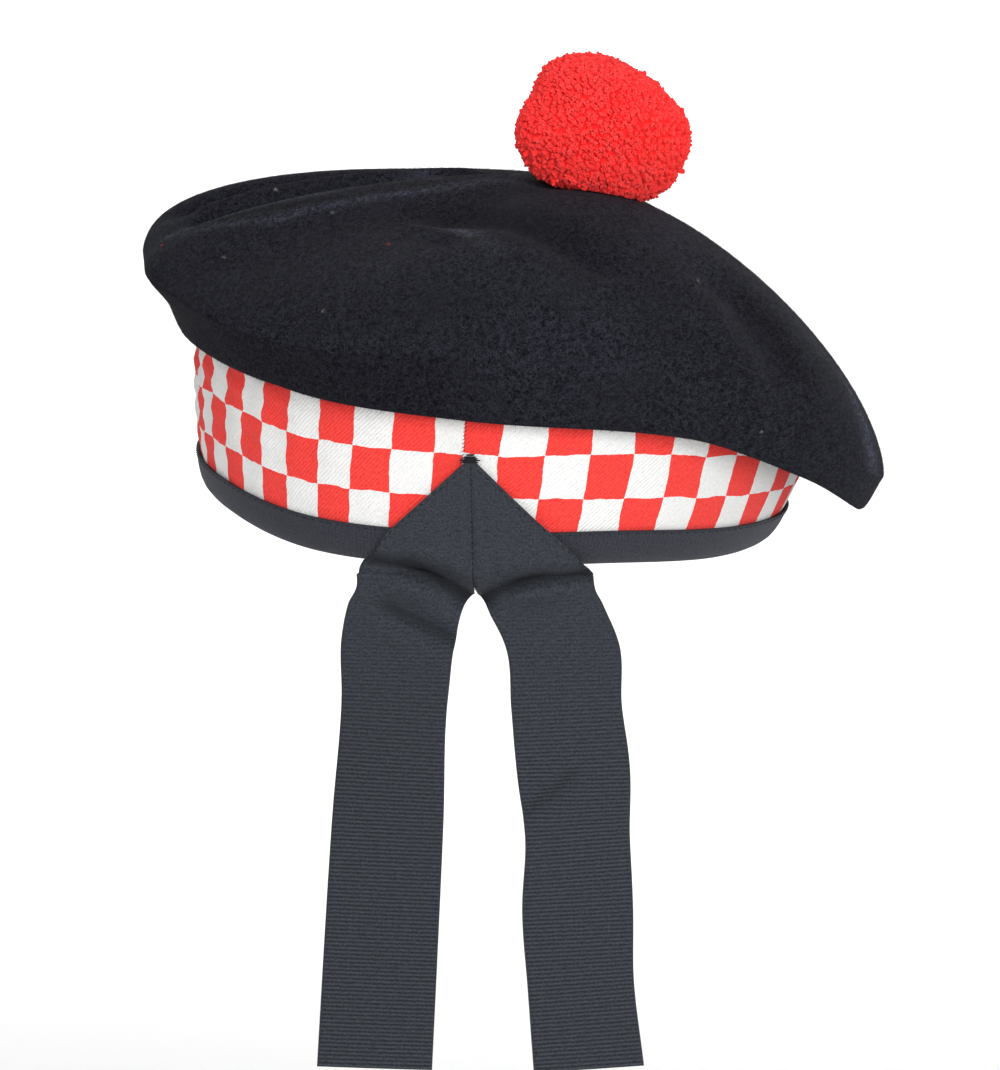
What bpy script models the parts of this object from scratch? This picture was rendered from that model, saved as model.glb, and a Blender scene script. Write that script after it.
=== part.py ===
"""A balmoral bonnet as it is worn: a soft felt crown, a diced band, a bound lower edge,
two ribbon tails mitred to a peak at the back, and a toorie (the pompom) on top.

The level bonnet is worked out first: x to the wearer's right, y to the front, z up, and the
origin at the middle of the head opening, in the plane of the lower edge. It is then tipped
by the two worn angles. The tails hang plumb from the tipped bonnet.
Angles run round the bonnet from the centre back (0) by the wearer's right (90) to the
front (180) and the wearer's left (270).
"""

import math
from collections import namedtuple

import bmesh
import bpy
import numpy as np
from mathutils import Euler, Vector
from mathutils.bvhtree import BVHTree

# Head opening, measured inside the felt at the lower edge
HEAD_BREADTH = 0.1455
HEAD_LENGTH = 0.1915

# Cloths, and the gap that pieces keep to each other
FELT_THICKNESS = 0.0020
STRIP_THICKNESS = 0.0014
BINDING_THICKNESS = 0.0008
RIBBON_THICKNESS = 0.0010
CLEARANCE = 0.0003

# Diced band: rows of squares, and how far the binding laps over the lowest row
DICE_SIZE = 0.0116
DICE_ROWS = 3
BINDING_HEIGHT = 0.0095
BINDING_LAP = 0.0026
BAND_FLARE = 0.0064

# Crown: how far it stands out past the band and up above it
CROWN_OVERHANG = 0.020
CROWN_RISE = 0.0495
TOP_TO_RIGHT = 0.019
TOP_TO_BACK = 0.003

# Ribbon tails, measured from the tip of the peak, and where that tip is sewn
RIBBON_WIDTH = 0.0300
RIBBON_LENGTH = 0.1580
PEAK_HEIGHT = 0.0295
PEAK_TO_RIGHT = 0.0022

# Toorie
TOORIE_WIDTH = 0.0490
TOORIE_HEIGHT = 0.0425
TOORIE_LOCK = 0.0013
TOORIE_SINK = 0.0042

# How the bonnet sits on the head: the back lower, and the wearer's right lower
WORN_PITCH = math.radians(5.0)
WORN_ROLL = math.radians(6.5)

BAND_BOTTOM = BINDING_HEIGHT - BINDING_LAP
BAND_HEIGHT = BAND_BOTTOM + DICE_ROWS * DICE_SIZE
STRIP_INNER = FELT_THICKNESS + CLEARANCE
STRIP_OUTER = STRIP_INNER + STRIP_THICKNESS
BINDING_INNER = STRIP_OUTER + CLEARANCE
BINDING_OUTER = BINDING_INNER + BINDING_THICKNESS
COLLAR_BOTTOM = BINDING_THICKNESS + CLEARANCE

# Where the crown's felt goes over the strip's top edge, comes down outside it and turns out
OVER_STRIP = 0.6 * FELT_THICKNESS
PAST_STRIP = 4 * CLEARANCE
UNDERSIDE_START = 5 * CLEARANCE + 0.9 * FELT_THICKNESS
UNDERSIDE_FOOT = 5 * CLEARANCE + 2.6 * FELT_THICKNESS
FOOT_ROUNDING = 0.5 * FELT_THICKNESS
SAG_SPREAD = 0.10

# The binding's fold: its height inside the bonnet, and how its lower outer corner is rounded
BINDING_INSIDE = 0.9 * BINDING_HEIGHT
CORNER_HEIGHT = 0.2 * BINDING_HEIGHT
CORNER_SET_IN = 0.4 * STRIP_THICKNESS

# The tails: gap to the band, the edge that the mitre rests against, and how their cup fades
TAIL_GAP = 1.5 * CLEARANCE
EDGE_REACH = 0.35 * BINDING_HEIGHT
HEM_GAP = 4 * CLEARANCE
CUP_FADE = 5
CUP_LEFT = 0.15

# The toorie's locks: how uneven they are, and the step between one lock's length and the next
LOCK_UNEVEN = 0.35
LOCK_STEP = 2.3
TOORIE_GAP = 2 * CLEARANCE

# Facets of the solids
COLUMNS = 64
CLOSER_TO_LEFT = 0.35
TOP_ROWS = 11
RIBBON_COLUMNS = 5
HANGING_ROWS = 16
MITRE_ROWS = 5

# Band, every 30 degrees: the rise of the rim and the outward lean as shares of
# BAND_HEIGHT, and slump, the share of its height that the strip has lost to buckling
BandSection = namedtuple("BandSection", "rise lean slump")
BAND_SECTIONS = (
    BandSection(rise=-0.01, lean=0.02, slump=0.00),
    BandSection(rise=0.06, lean=0.03, slump=0.00),
    BandSection(rise=0.04, lean=0.08, slump=0.06),
    BandSection(rise=0.02, lean=0.12, slump=0.18),
    BandSection(rise=0.00, lean=0.08, slump=0.12),
    BandSection(rise=0.00, lean=0.03, slump=0.03),
    BandSection(rise=0.00, lean=0.02, slump=0.00),
    BandSection(rise=0.00, lean=0.00, slump=0.00),
    BandSection(rise=0.01, lean=0.00, slump=0.00),
    BandSection(rise=0.01, lean=0.00, slump=0.00),
    BandSection(rise=-0.02, lean=0.00, slump=0.00),
    BandSection(rise=-0.07, lean=0.00, slump=0.00),
)

# Crown, every 30 degrees. overhang and belly are shares of CROWN_OVERHANG; lip and sag are
# heights from the top of the band, as shares of CROWN_RISE. lip is where the crown reaches
# furthest out, sag is where its underside leaves the band, and belly is how far the
# underside hangs below a straight line between them. A negative belly draws it up and in. fullness is the power of the dome's
# curve: 2 is round, more is boxy.
CrownSection = namedtuple("CrownSection", "overhang lip sag belly fullness")
CROWN_SECTIONS = (
    CrownSection(overhang=0.62, lip=0.28, sag=-0.04, belly=0.12, fullness=2.0),
    CrownSection(overhang=0.66, lip=0.16, sag=-0.10, belly=0.16, fullness=1.9),
    CrownSection(overhang=0.80, lip=-0.12, sag=-0.19, belly=0.32, fullness=1.7),
    CrownSection(overhang=0.90, lip=-0.28, sag=-0.30, belly=0.44, fullness=1.5),
    CrownSection(overhang=0.86, lip=-0.16, sag=-0.25, belly=0.28, fullness=1.4),
    CrownSection(overhang=0.75, lip=0.04, sag=-0.14, belly=0.20, fullness=1.5),
    CrownSection(overhang=0.70, lip=0.17, sag=-0.05, belly=0.14, fullness=1.8),
    CrownSection(overhang=0.75, lip=0.27, sag=-0.03, belly=0.12, fullness=1.9),
    CrownSection(overhang=0.86, lip=0.33, sag=-0.02, belly=0.02, fullness=1.9),
    CrownSection(overhang=0.86, lip=0.41, sag=-0.01, belly=-0.10, fullness=2.0),
    CrownSection(overhang=0.77, lip=0.33, sag=0.08, belly=-0.09, fullness=1.4),
    CrownSection(overhang=0.75, lip=0.27, sag=0.01, belly=0.02, fullness=1.5),
)

# Folds and dents in the crown's top, seen from above. Each runs straight from one place to
# another, given as shares of the half width (right) and of the half length (front), with
# width and depth as shares of CROWN_RISE. A negative depth is a hollow.
Fold = namedtuple("Fold", "right front to_right to_front width depth")
FOLDS = (
    Fold(right=-0.93, front=-0.40, to_right=-0.04, to_front=-0.13, width=0.26, depth=0.055),
    Fold(right=-0.90, front=-0.08, to_right=-0.20, to_front=0.09, width=0.14, depth=-0.120),
    Fold(right=0.60, front=-0.46, to_right=0.73, to_front=-0.52, width=0.22, depth=-0.060),
    Fold(right=-0.14, front=-0.36, to_right=0.25, to_front=-0.66, width=0.15, depth=-0.065),
    Fold(right=0.05, front=-0.90, to_right=0.36, to_front=-0.86, width=0.16, depth=0.040),
)
SEAT_DIMPLE = 0.0022

# How far each tail's slanting top edge drops, as a share of RIBBON_WIDTH
LEFT_MITRE = 0.90
RIGHT_MITRE = 1.02

# Each tail below the binding. drop is a share of the hanging length; out is how far the
# middle has moved away from the centre seam and back how far it has moved away from the
# head, both as shares of RIBBON_WIDTH; turn is in degrees, its outer edge to the front.
TailSection = namedtuple("TailSection", "drop out back turn")
LEFT_TAIL = (
    TailSection(drop=0.00, out=0.00, back=0.00, turn=12),
    TailSection(drop=0.04, out=0.02, back=-0.03, turn=10),
    TailSection(drop=0.12, out=0.14, back=-0.05, turn=12),
    TailSection(drop=0.24, out=0.20, back=-0.02, turn=22),
    TailSection(drop=0.50, out=0.24, back=0.03, turn=14),
    TailSection(drop=1.00, out=0.36, back=0.00, turn=6),
)
RIGHT_TAIL = (
    TailSection(drop=0.00, out=0.00, back=0.00, turn=12),
    TailSection(drop=0.04, out=0.04, back=-0.03, turn=14),
    TailSection(drop=0.14, out=0.26, back=-0.04, turn=28),
    TailSection(drop=0.26, out=0.33, back=0.01, turn=22),
    TailSection(drop=0.50, out=0.41, back=-0.03, turn=36),
    TailSection(drop=1.00, out=0.50, back=0.02, turn=32),
)


def through(a, b, c, d, t):
    """The place at share t from b to c, on a smooth curve that passes through a, b, c and d."""
    return b + 0.5 * t * (c - a + t * (2 * a - 5 * b + 4 * c - d + t * (3 * (b - c) + d - a)))


def round_curve(rows, column, angle):
    """The column's value at this angle, on a smooth closed curve through evenly spaced rows."""
    place = angle / (2 * math.pi) * len(rows)
    first = math.floor(place)
    near = [getattr(rows[(first + step) % len(rows)], column) for step in (-1, 0, 1, 2)]
    return through(*near, place - first)


def between(rows, column, drop):
    """The column's value at this drop, on a smooth curve through the rows."""
    values = [getattr(row, column) for row in rows]
    drops = [row.drop for row in rows]
    slopes = np.gradient(values, drops)
    first = max(i for i in range(len(rows) - 1) if drops[i] <= drop)
    span = drops[first + 1] - drops[first]
    t = (drop - drops[first]) / span
    rise = values[first + 1] - values[first]
    start, end = slopes[first] * span, slopes[first + 1] * span
    bend = 3 * rise - 2 * start - end
    return values[first] + t * start + t ** 2 * bend + t ** 3 * (start + end - 2 * rise)


def smooth_path(points, steps):
    """Points on a smooth curve through the given points, with this many steps in each span."""
    points = [2 * points[0] - points[1]] + list(points) + [2 * points[-1] - points[-2]]
    path = []
    for a, b, c, d in zip(points, points[1:], points[2:], points[3:]):
        path += [through(a, b, c, d, step / steps) for step in range(steps)]
    return path + [points[-2]]


def outward(angle):
    """The level direction straight out of the band at this angle."""
    out = Vector((math.sin(angle) * HEAD_LENGTH, -math.cos(angle) * HEAD_BREADTH, 0))
    return out.normalized()


def band_point(angle, height, out):
    """A point of the band: this height up its slope, and this far out from the felt's inner face."""
    share = height / BAND_HEIGHT
    flare = BAND_FLARE * (1 - (1 - share) ** 2)
    lean = round_curve(BAND_SECTIONS, "lean", angle)
    slump = round_curve(BAND_SECTIONS, "slump", angle) * share
    rise = round_curve(BAND_SECTIONS, "rise", angle) * BAND_HEIGHT
    grown = out + flare + lean * height
    return Vector((
        math.sin(angle) * (HEAD_BREADTH / 2 + grown),
        -math.cos(angle) * (HEAD_LENGTH / 2 + grown),
        height * (1 - slump) * math.sqrt(1 - lean ** 2) + rise,
    ))


def bonnet_angles():
    """The angles of the columns of faces, closer together on the left, where the crown is folded."""
    even = [2 * math.pi * column / COLUMNS for column in range(COLUMNS)]
    return [angle - CLOSER_TO_LEFT * math.cos(angle) for angle in even]


def ring_mesh(sections):
    """A closed ring through equal closed sections, one for each angle."""
    mesh = bmesh.new()
    rings = [[mesh.verts.new(point) for point in section] for section in sections]
    for ring, following in zip(rings, rings[1:] + rings[:1]):
        for i in range(len(ring)):
            j = (i + 1) % len(ring)
            mesh.faces.new((ring[i], following[i], following[j], ring[j]))
    return mesh


def unit(vectors):
    return vectors / np.linalg.norm(vectors, axis=-1, keepdims=True)


def grid_normals(points):
    """The unit normals of a grid of points whose last column meets its first."""
    steps = unit(np.diff(points, axis=0))
    along = np.concatenate((steps[:1], steps[:-1] + steps[1:], steps[-1:]))
    across = np.roll(points, -1, axis=1) - np.roll(points, 1, axis=1)
    return unit(np.cross(across, along))


def finish(name, mesh, colour, roughness, tipped=True):
    """Makes the object from the bmesh, with its material, smooth shading and the worn tilt."""
    bmesh.ops.recalc_face_normals(mesh, faces=mesh.faces)
    data = bpy.data.meshes.new(name)
    mesh.to_mesh(data)
    mesh.free()
    data.shade_smooth()
    data.set_sharp_from_angle(angle=math.radians(50))
    material = bpy.data.materials.new(name)
    material.use_nodes = True
    shader = material.node_tree.nodes["Principled BSDF"]
    shader.inputs["Base Color"].default_value = (*colour, 1)
    shader.inputs["Roughness"].default_value = roughness
    shader.inputs["Metallic"].default_value = 0
    data.materials.append(material)
    made = bpy.data.objects.new(name, data)
    bpy.context.scene.collection.objects.link(made)
    if tipped:
        made.rotation_euler = Euler((WORN_PITCH, WORN_ROLL, 0))
    bpy.context.view_layer.update()
    return made


def dice_heights():
    """The heights of the strip's lower edge, of the lines between its rows and of its upper edge."""
    return [BAND_BOTTOM + DICE_SIZE * row for row in range(DICE_ROWS + 1)]


def diced_band():
    """The woven strip of dice, sewn round the felt just inside the crown's overhang."""
    heights = dice_heights()
    sections = []
    for angle in bonnet_angles():
        outer = [band_point(angle, height, STRIP_OUTER) for height in heights]
        inner = [band_point(angle, height, STRIP_INNER) for height in reversed(heights)]
        sections.append(outer + inner)
    return finish("diced_band", ring_mesh(sections), (0.80, 0.16, 0.14), 0.9)


def edge_binding():
    """The ribbon folded over the lower edges of the felt and the strip, like a U."""
    inside = -CLEARANCE - BINDING_THICKNESS
    fold = CLEARANCE + BINDING_THICKNESS
    profile = (
        (BINDING_OUTER, BINDING_HEIGHT),
        (BINDING_OUTER, BINDING_HEIGHT / 2),
        (BINDING_OUTER - CORNER_SET_IN, CORNER_HEIGHT),
        (FELT_THICKNESS + CLEARANCE, 0),
        (0, 0),
        (inside, CORNER_HEIGHT),
        (inside, BINDING_INSIDE),
        (-CLEARANCE, BINDING_INSIDE),
        (-CLEARANCE, BINDING_THICKNESS),
        (FELT_THICKNESS + CLEARANCE, BINDING_THICKNESS),
        (BINDING_INNER - CORNER_SET_IN, fold + CORNER_HEIGHT / 2),
        (BINDING_INNER, BINDING_HEIGHT / 2),
        (BINDING_INNER, BINDING_HEIGHT),
    )
    sections = []
    for angle in bonnet_angles():
        sections.append([band_point(angle, height, out) for out, height in profile])
    return finish("edge_binding", ring_mesh(sections), (0.022, 0.027, 0.038), 0.7)


def crown_column(angle, top):
    """The crown's outer face at one angle, from the collar's hem to the edge of the toorie's seat."""
    def shape(column):
        return round_curve(CROWN_SECTIONS, column, angle)

    hem_and_rows = [COLLAR_BOTTOM] + dice_heights()
    collar = [band_point(angle, height, FELT_THICKNESS) for height in hem_and_rows]
    corner = band_point(angle, BAND_HEIGHT, STRIP_OUTER)
    out = outward(angle)

    def off_corner(away, up):
        return corner + out * away + Vector((0, 0, up))

    lip_up = shape("lip") * CROWN_RISE
    sag = shape("sag") * CROWN_RISE
    spread = SAG_SPREAD * sag
    drawn_in = max(0, -shape("belly")) * CROWN_OVERHANG
    start_up = min(sag + FOOT_ROUNDING, OVER_STRIP)
    turn = [
        off_corner(-STRIP_THICKNESS - 0.8 * CLEARANCE, OVER_STRIP),
        off_corner(-STRIP_THICKNESS / 10, OVER_STRIP),
    ]
    past_strip = off_corner(PAST_STRIP, max(0, (OVER_STRIP + start_up) / 2))
    start = off_corner(UNDERSIDE_START - spread, start_up)
    foot = off_corner(UNDERSIDE_FOOT - spread - drawn_in, min(sag, FOOT_ROUNDING))
    lip = off_corner(shape("overhang") * CROWN_OVERHANG, lip_up)
    middle = (foot + lip) / 2 - Vector((0, 0, shape("belly") * CROWN_OVERHANG))
    underside = smooth_path([past_strip, start, foot, middle, lip], 2)
    dome = []
    power = 2 / shape("fullness")
    for row in range(1, TOP_ROWS):
        quarter = math.pi / 2 * row / TOP_ROWS
        level = math.cos(quarter) ** power
        rise = math.sin(quarter) ** power
        dome.append(Vector((
            top.x + (lip.x - top.x) * level,
            top.y + (lip.y - top.y) * level,
            lip.z + (top.z - lip.z) * rise,
        )))
    return collar + turn + underside + dome


def fold_relief(points):
    """How far each point of the crown moves out along its normal for the folds and dents."""
    half_width = HEAD_BREADTH / 2 + STRIP_OUTER + BAND_FLARE + CROWN_OVERHANG
    half_length = HEAD_LENGTH / 2 + STRIP_OUTER + BAND_FLARE + CROWN_OVERHANG
    scale = np.array((half_width, half_length))
    plan = points[..., :2]
    relief = np.zeros(plan.shape[:2])
    for fold in FOLDS:
        start = np.array((fold.right, fold.front)) * scale
        run = np.array((fold.to_right, fold.to_front)) * scale - start
        length = np.linalg.norm(run)
        run /= length
        side = np.array((-run[1], run[0]))
        along = (plan - start) @ run
        past = along - np.clip(along, 0, length)
        aside = (plan - start) @ side
        width = fold.width * CROWN_RISE
        relief += fold.depth * CROWN_RISE * np.exp(-(aside ** 2 + past ** 2) / width ** 2)
    return relief


def crown():
    """The one-piece felt: a collar inside the band, the overhanging edge and the soft top."""
    top = Vector((TOP_TO_RIGHT, -TOP_TO_BACK, BAND_HEIGHT + CROWN_RISE))
    columns = [crown_column(angle, top) for angle in bonnet_angles()]
    outer = np.array(columns).transpose(1, 0, 2)
    lip_row = len(columns[0]) - TOP_ROWS
    soft = np.clip((np.arange(len(outer)) - lip_row + 2) / 3, 0, 1)[:, None]
    from_seat = np.hypot(outer[..., 0] - top.x, outer[..., 1] - top.y) / (TOORIE_WIDTH / 2)
    dimple = SEAT_DIMPLE * np.exp(-3 * from_seat ** 2)
    relief = (fold_relief(outer) * np.clip(2 * from_seat - 1, 0, 1) - dimple) * soft
    outer = outer + grid_normals(outer) * relief[..., None]
    inner = outer - grid_normals(outer) * FELT_THICKNESS

    mesh = bmesh.new()
    skins = []
    for skin in (outer, inner):
        skins.append([[mesh.verts.new(point) for point in row] for row in skin])
    for skin in skins:
        for row, above in zip(skin, skin[1:]):
            for i in range(COLUMNS):
                j = (i + 1) % COLUMNS
                mesh.faces.new((row[i], row[j], above[j], above[i]))
        pole = mesh.verts.new(sum((vert.co for vert in skin[-1]), Vector()) / COLUMNS)
        for i in range(COLUMNS):
            mesh.faces.new((skin[-1][i], skin[-1][(i + 1) % COLUMNS], pole))
    hem, inner_hem = skins[0][0], skins[1][0]
    for i in range(COLUMNS):
        j = (i + 1) % COLUMNS
        mesh.faces.new((hem[i], hem[j], inner_hem[j], inner_hem[i]))
    return finish("crown", mesh, (0.014, 0.017, 0.024), 0.95)


def surface_of(things):
    """A search tree of these objects' faces as they stand in the world."""
    verts, faces = [], []
    for thing in things:
        start = len(verts)
        verts += [thing.matrix_world @ vert.co for vert in thing.data.vertices]
        faces += [[start + i for i in face.vertices] for face in thing.data.polygons]
    return BVHTree.FromPolygons(verts, faces)


def back_of(surface, x, z, reach):
    """How far back the surface comes at x, within reach above and below z or else at its lowest place."""
    def hit(height):
        return surface.ray_cast(Vector((x, -1, height)), Vector((0, 1, 0)))[0]

    found = [place for place in (hit(z - reach), hit(z), hit(z + reach)) if place]
    while not found:
        z += reach / 2
        found = [place for place in (hit(z + reach),) if place]
    return min(place.y for place in found)


def rim_of(grid):
    """The points round the edge of a grid, in order."""
    down = [line[-1] for line in grid[1:]]
    up = [line[0] for line in grid[-2:0:-1]]
    return grid[0] + down + grid[-1][-2::-1] + up


def ribbon_tail(name, side, mitre, rows, surface, tip, hem):
    """One tail: sewn along its slanting top edge and the centre seam, then hanging plumb.
    side is -1 for the wearer's left and 1 for the right; hem is the height it hangs free from."""
    inner_edge = tip.x + side * CLEARANCE / 2
    grid = []
    for row in range(MITRE_ROWS + 1):
        line = []
        for column in range(RIBBON_COLUMNS + 1):
            across = RIBBON_WIDTH * column / RIBBON_COLUMNS
            start = tip.z - across * mitre
            z = start + (hem - start) * row / MITRE_ROWS
            x = inner_edge + side * across
            line.append(Vector((x, back_of(surface, x, z, EDGE_REACH) - TAIL_GAP, z)))
        grid.append(line)
    last = grid[-1]
    centre = last[0].lerp(last[-1], 0.5)
    bow = last[RIBBON_COLUMNS // 2].lerp(last[(RIBBON_COLUMNS + 1) // 2], 0.5).y - centre.y
    hanging = RIBBON_LENGTH - (tip.z - hem)
    for row in range(1, HANGING_ROWS + 1):
        drop = row / HANGING_ROWS
        turn = math.radians(between(rows, "turn", drop))
        middle = centre + Vector((
            side * between(rows, "out", drop) * RIBBON_WIDTH,
            -between(rows, "back", drop) * RIBBON_WIDTH,
            -drop * hanging,
        ))
        cup = bow * max(CUP_LEFT, 1 - CUP_FADE * drop)
        line = []
        for column in range(RIBBON_COLUMNS + 1):
            across = column / RIBBON_COLUMNS - 0.5
            aside = side * math.cos(turn) * across * RIBBON_WIDTH
            forward = math.sin(turn) * across * RIBBON_WIDTH + cup * (1 - 4 * across * across)
            line.append(middle + Vector((aside, forward, 0)))
        grid.append(line)

    mesh = bmesh.new()
    back = Vector((0, -RIBBON_THICKNESS, 0))
    near = [[mesh.verts.new(point) for point in line] for line in grid]
    far = [[mesh.verts.new(point + back) for point in line] for line in grid]
    for skin in (near, far):
        for line, lower in zip(skin, skin[1:]):
            for a, b, c, d in zip(line, line[1:], lower[1:], lower):
                mesh.faces.new((a, b, c, d))
    rim, other = rim_of(near), rim_of(far)
    for i in range(len(rim)):
        j = (i + 1) % len(rim)
        mesh.faces.new((rim[i], rim[j], other[j], other[i]))
    return finish(name, mesh, (0.030, 0.036, 0.050), 0.65, tipped=False)


def toorie(felt):
    """The pompom: a ball of clipped locks, each a bump of the ball, pressed flat on the crown."""
    middle = BAND_HEIGHT + CROWN_RISE - SEAT_DIMPLE + TOORIE_HEIGHT / 2 - TOORIE_SINK
    centre = felt.matrix_world @ Vector((TOP_TO_RIGHT, -TOP_TO_BACK, middle))
    surface = surface_of([felt])
    mesh = bmesh.new()
    bmesh.ops.create_icosphere(mesh, subdivisions=3, radius=1)
    tips = len(mesh.verts)
    bmesh.ops.subdivide_edges(mesh, edges=mesh.edges, cuts=1, use_grid_fill=True)
    for count, vert in enumerate(mesh.verts):
        direction = vert.co.normalized()
        uneven = LOCK_UNEVEN * math.sin(LOCK_STEP * count) * TOORIE_LOCK
        out = uneven if count < tips else -TOORIE_LOCK
        vert.co = Vector((
            direction.x * (TOORIE_WIDTH / 2 + out),
            direction.y * (TOORIE_WIDTH / 2 + out),
            direction.z * (TOORIE_HEIGHT / 2 + out),
        ))
    turn = Euler((WORN_PITCH, WORN_ROLL, 0)).to_matrix()
    for vert in mesh.verts:
        vert.co = centre + turn @ vert.co
        hit = surface.ray_cast(vert.co + Vector((0, 0, TOORIE_HEIGHT)), Vector((0, 0, -1)))[0]
        if hit:
            vert.co.z = max(vert.co.z, hit.z + TOORIE_GAP)
    return finish("toorie", mesh, (0.83, 0.03, 0.025), 0.9, tipped=False)


def build():
    for thing in list(bpy.data.objects):
        bpy.data.objects.remove(thing)
    strip = diced_band()
    binding = edge_binding()
    felt = crown()
    toorie(felt)
    band = surface_of([strip, binding])
    tipped = strip.matrix_world
    tip = tipped @ band_point(0, PEAK_HEIGHT, BINDING_OUTER)
    tip.x += PEAK_TO_RIGHT
    mitre_end = tip.z - RIBBON_WIDTH * max(LEFT_MITRE, RIGHT_MITRE)
    lower_edge = (tipped @ band_point(0, 0, 0)).z
    hem = min(mitre_end, lower_edge) - HEM_GAP
    ribbon_tail("ribbon_tail_left", -1, LEFT_MITRE, LEFT_TAIL, band, tip, hem)
    ribbon_tail("ribbon_tail_right", 1, RIGHT_MITRE, RIGHT_TAIL, band, tip, hem)


build()
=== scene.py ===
# %% [markdown]
# # A balmoral bonnet
# A balmoral is a soft wool cap. It has a flat, wide crown of milled felt, a woven band of dice
# round the head, a ribbon folded over the lower edge, two ribbon tails at the back and a toorie,
# the pompom, on top. We look at it from behind, as it is worn: the crown is pulled down to the
# wearer's right and the tails hang plumb.
#
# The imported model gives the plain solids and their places. This lesson makes each piece again
# with the detail that the eye wants: folds, fibres, ribs, stitches and clipped yarn.

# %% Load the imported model
import math
from collections import namedtuple

import bmesh
import bpy
import numpy as np
from mathutils import Euler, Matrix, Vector
from mathutils.bvhtree import BVHTree


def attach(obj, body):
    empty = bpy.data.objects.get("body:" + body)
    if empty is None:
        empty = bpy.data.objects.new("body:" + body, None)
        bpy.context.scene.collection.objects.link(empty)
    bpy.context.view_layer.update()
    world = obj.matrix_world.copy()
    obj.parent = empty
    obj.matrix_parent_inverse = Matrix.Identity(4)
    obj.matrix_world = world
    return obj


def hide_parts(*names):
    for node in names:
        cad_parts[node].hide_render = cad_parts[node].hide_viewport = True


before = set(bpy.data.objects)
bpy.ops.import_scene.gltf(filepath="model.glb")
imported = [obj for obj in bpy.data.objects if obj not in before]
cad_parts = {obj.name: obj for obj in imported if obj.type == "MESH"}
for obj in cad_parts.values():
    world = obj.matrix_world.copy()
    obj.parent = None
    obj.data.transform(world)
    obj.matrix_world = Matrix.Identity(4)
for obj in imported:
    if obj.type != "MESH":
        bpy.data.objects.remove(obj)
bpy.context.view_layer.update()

print("pieces in the model:", ", ".join(sorted(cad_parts)))

# %% [markdown]
# ## The maker's sizes
# A hatter works from a few numbers: the head opening, the cloths' thicknesses, the size of a
# square of the dice and the width of the ribbon. They are the same here as in the model, in
# metres. Everything is first made level, x to the wearer's right, y to the front and z up, with
# the origin in the middle of the head opening. It is then tipped by the two worn angles.

# %% Sizes of the bonnet
HEAD_BREADTH = 0.1455
HEAD_LENGTH = 0.1915
FELT_THICKNESS = 0.0020
STRIP_THICKNESS = 0.0014
BINDING_THICKNESS = 0.0008
RIBBON_THICKNESS = 0.0010
CLEARANCE = 0.0003
DICE_SIZE = 0.0116
DICE_ROWS = 3
BINDING_HEIGHT = 0.0095
BINDING_LAP = 0.0026
BAND_FLARE = 0.0064
CROWN_OVERHANG = 0.020
CROWN_RISE = 0.0495
TOP_TO_RIGHT = 0.019
TOP_TO_BACK = 0.003
RIBBON_WIDTH = 0.0300
RIBBON_LENGTH = 0.1580
PEAK_HEIGHT = 0.0295
PEAK_TO_RIGHT = 0.0022
TOORIE_WIDTH = 0.0490
TOORIE_HEIGHT = 0.0425
TOORIE_SINK = 0.0042
SEAT_DIMPLE = 0.0022
WORN_TILT = Euler((math.radians(5.0), math.radians(6.5), 0)).to_matrix()

BAND_BOTTOM = BINDING_HEIGHT - BINDING_LAP
BAND_HEIGHT = BAND_BOTTOM + DICE_ROWS * DICE_SIZE
STRIP_INNER = FELT_THICKNESS + CLEARANCE
STRIP_OUTER = STRIP_INNER + STRIP_THICKNESS
BINDING_INNER = STRIP_OUTER + CLEARANCE
BINDING_OUTER = BINDING_INNER + BINDING_THICKNESS
TURN = 2 * math.pi
TILT = np.array(WORN_TILT)
print(f"band {BAND_HEIGHT * 1000:.1f} mm high")

# %% [markdown]
# ## Camera, light and floor
# The camera stands one and a half metres behind the bonnet, a little to the wearer's right and
# a little above, with a long lens, so the ellipses of the band stay flat. Large soft lights and
# a bright room give the even light of a studio table, and the pale floor is far enough below the
# tails that their shadow stays soft.

# %% Camera
CAMERA_DISTANCE = 1.5
CAMERA_AZIMUTH = math.radians(4.5)
CAMERA_ELEVATION = math.radians(4.0)
CAMERA_LENS = 185.2
CAMERA_SENSOR = 36
FAR_LIMIT = 50
LOOK_TO_RIGHT = 0.00327
LOOK_UP = -0.00790


def camera_axes():
    """The camera's right, up and forward directions."""
    right = Vector((math.cos(CAMERA_AZIMUTH), math.sin(CAMERA_AZIMUTH), 0))
    level = Vector((-math.sin(CAMERA_AZIMUTH), math.cos(CAMERA_AZIMUTH), 0))
    forward = level * math.cos(CAMERA_ELEVATION) - Vector((0, 0, math.sin(CAMERA_ELEVATION)))
    return right, right.cross(forward), forward


def into_scene(name, data):
    """A new object with this data, linked into the scene."""
    made = bpy.data.objects.new(name, data)
    bpy.context.scene.collection.objects.link(made)
    return made


right, up, forward = camera_axes()
camera_data = bpy.data.cameras.new("camera")
camera_data.lens = CAMERA_LENS
camera_data.sensor_width = CAMERA_SENSOR
camera_data.clip_end = FAR_LIMIT
camera = into_scene("camera", camera_data)
camera.location = right * LOOK_TO_RIGHT + up * LOOK_UP - forward * CAMERA_DISTANCE
camera.rotation_euler = forward.to_track_quat("-Z", "Y").to_euler()
bpy.context.scene.camera = camera
print(f"camera {camera.location.length:.2f} m away")

# %% Floor that sweeps up into a wall
FLOOR_HEIGHT = -0.26
FLOOR_HALF_WIDTH = 9.0
FLOOR_FRONT = -9.0
SWEEP_START = 2.2
SWEEP_RADIUS = 1.6
SWEEP_STEPS = 24
WALL_TOP = 5.0
CARD_GREY = (0.90, 0.90, 0.90, 1)


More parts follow.
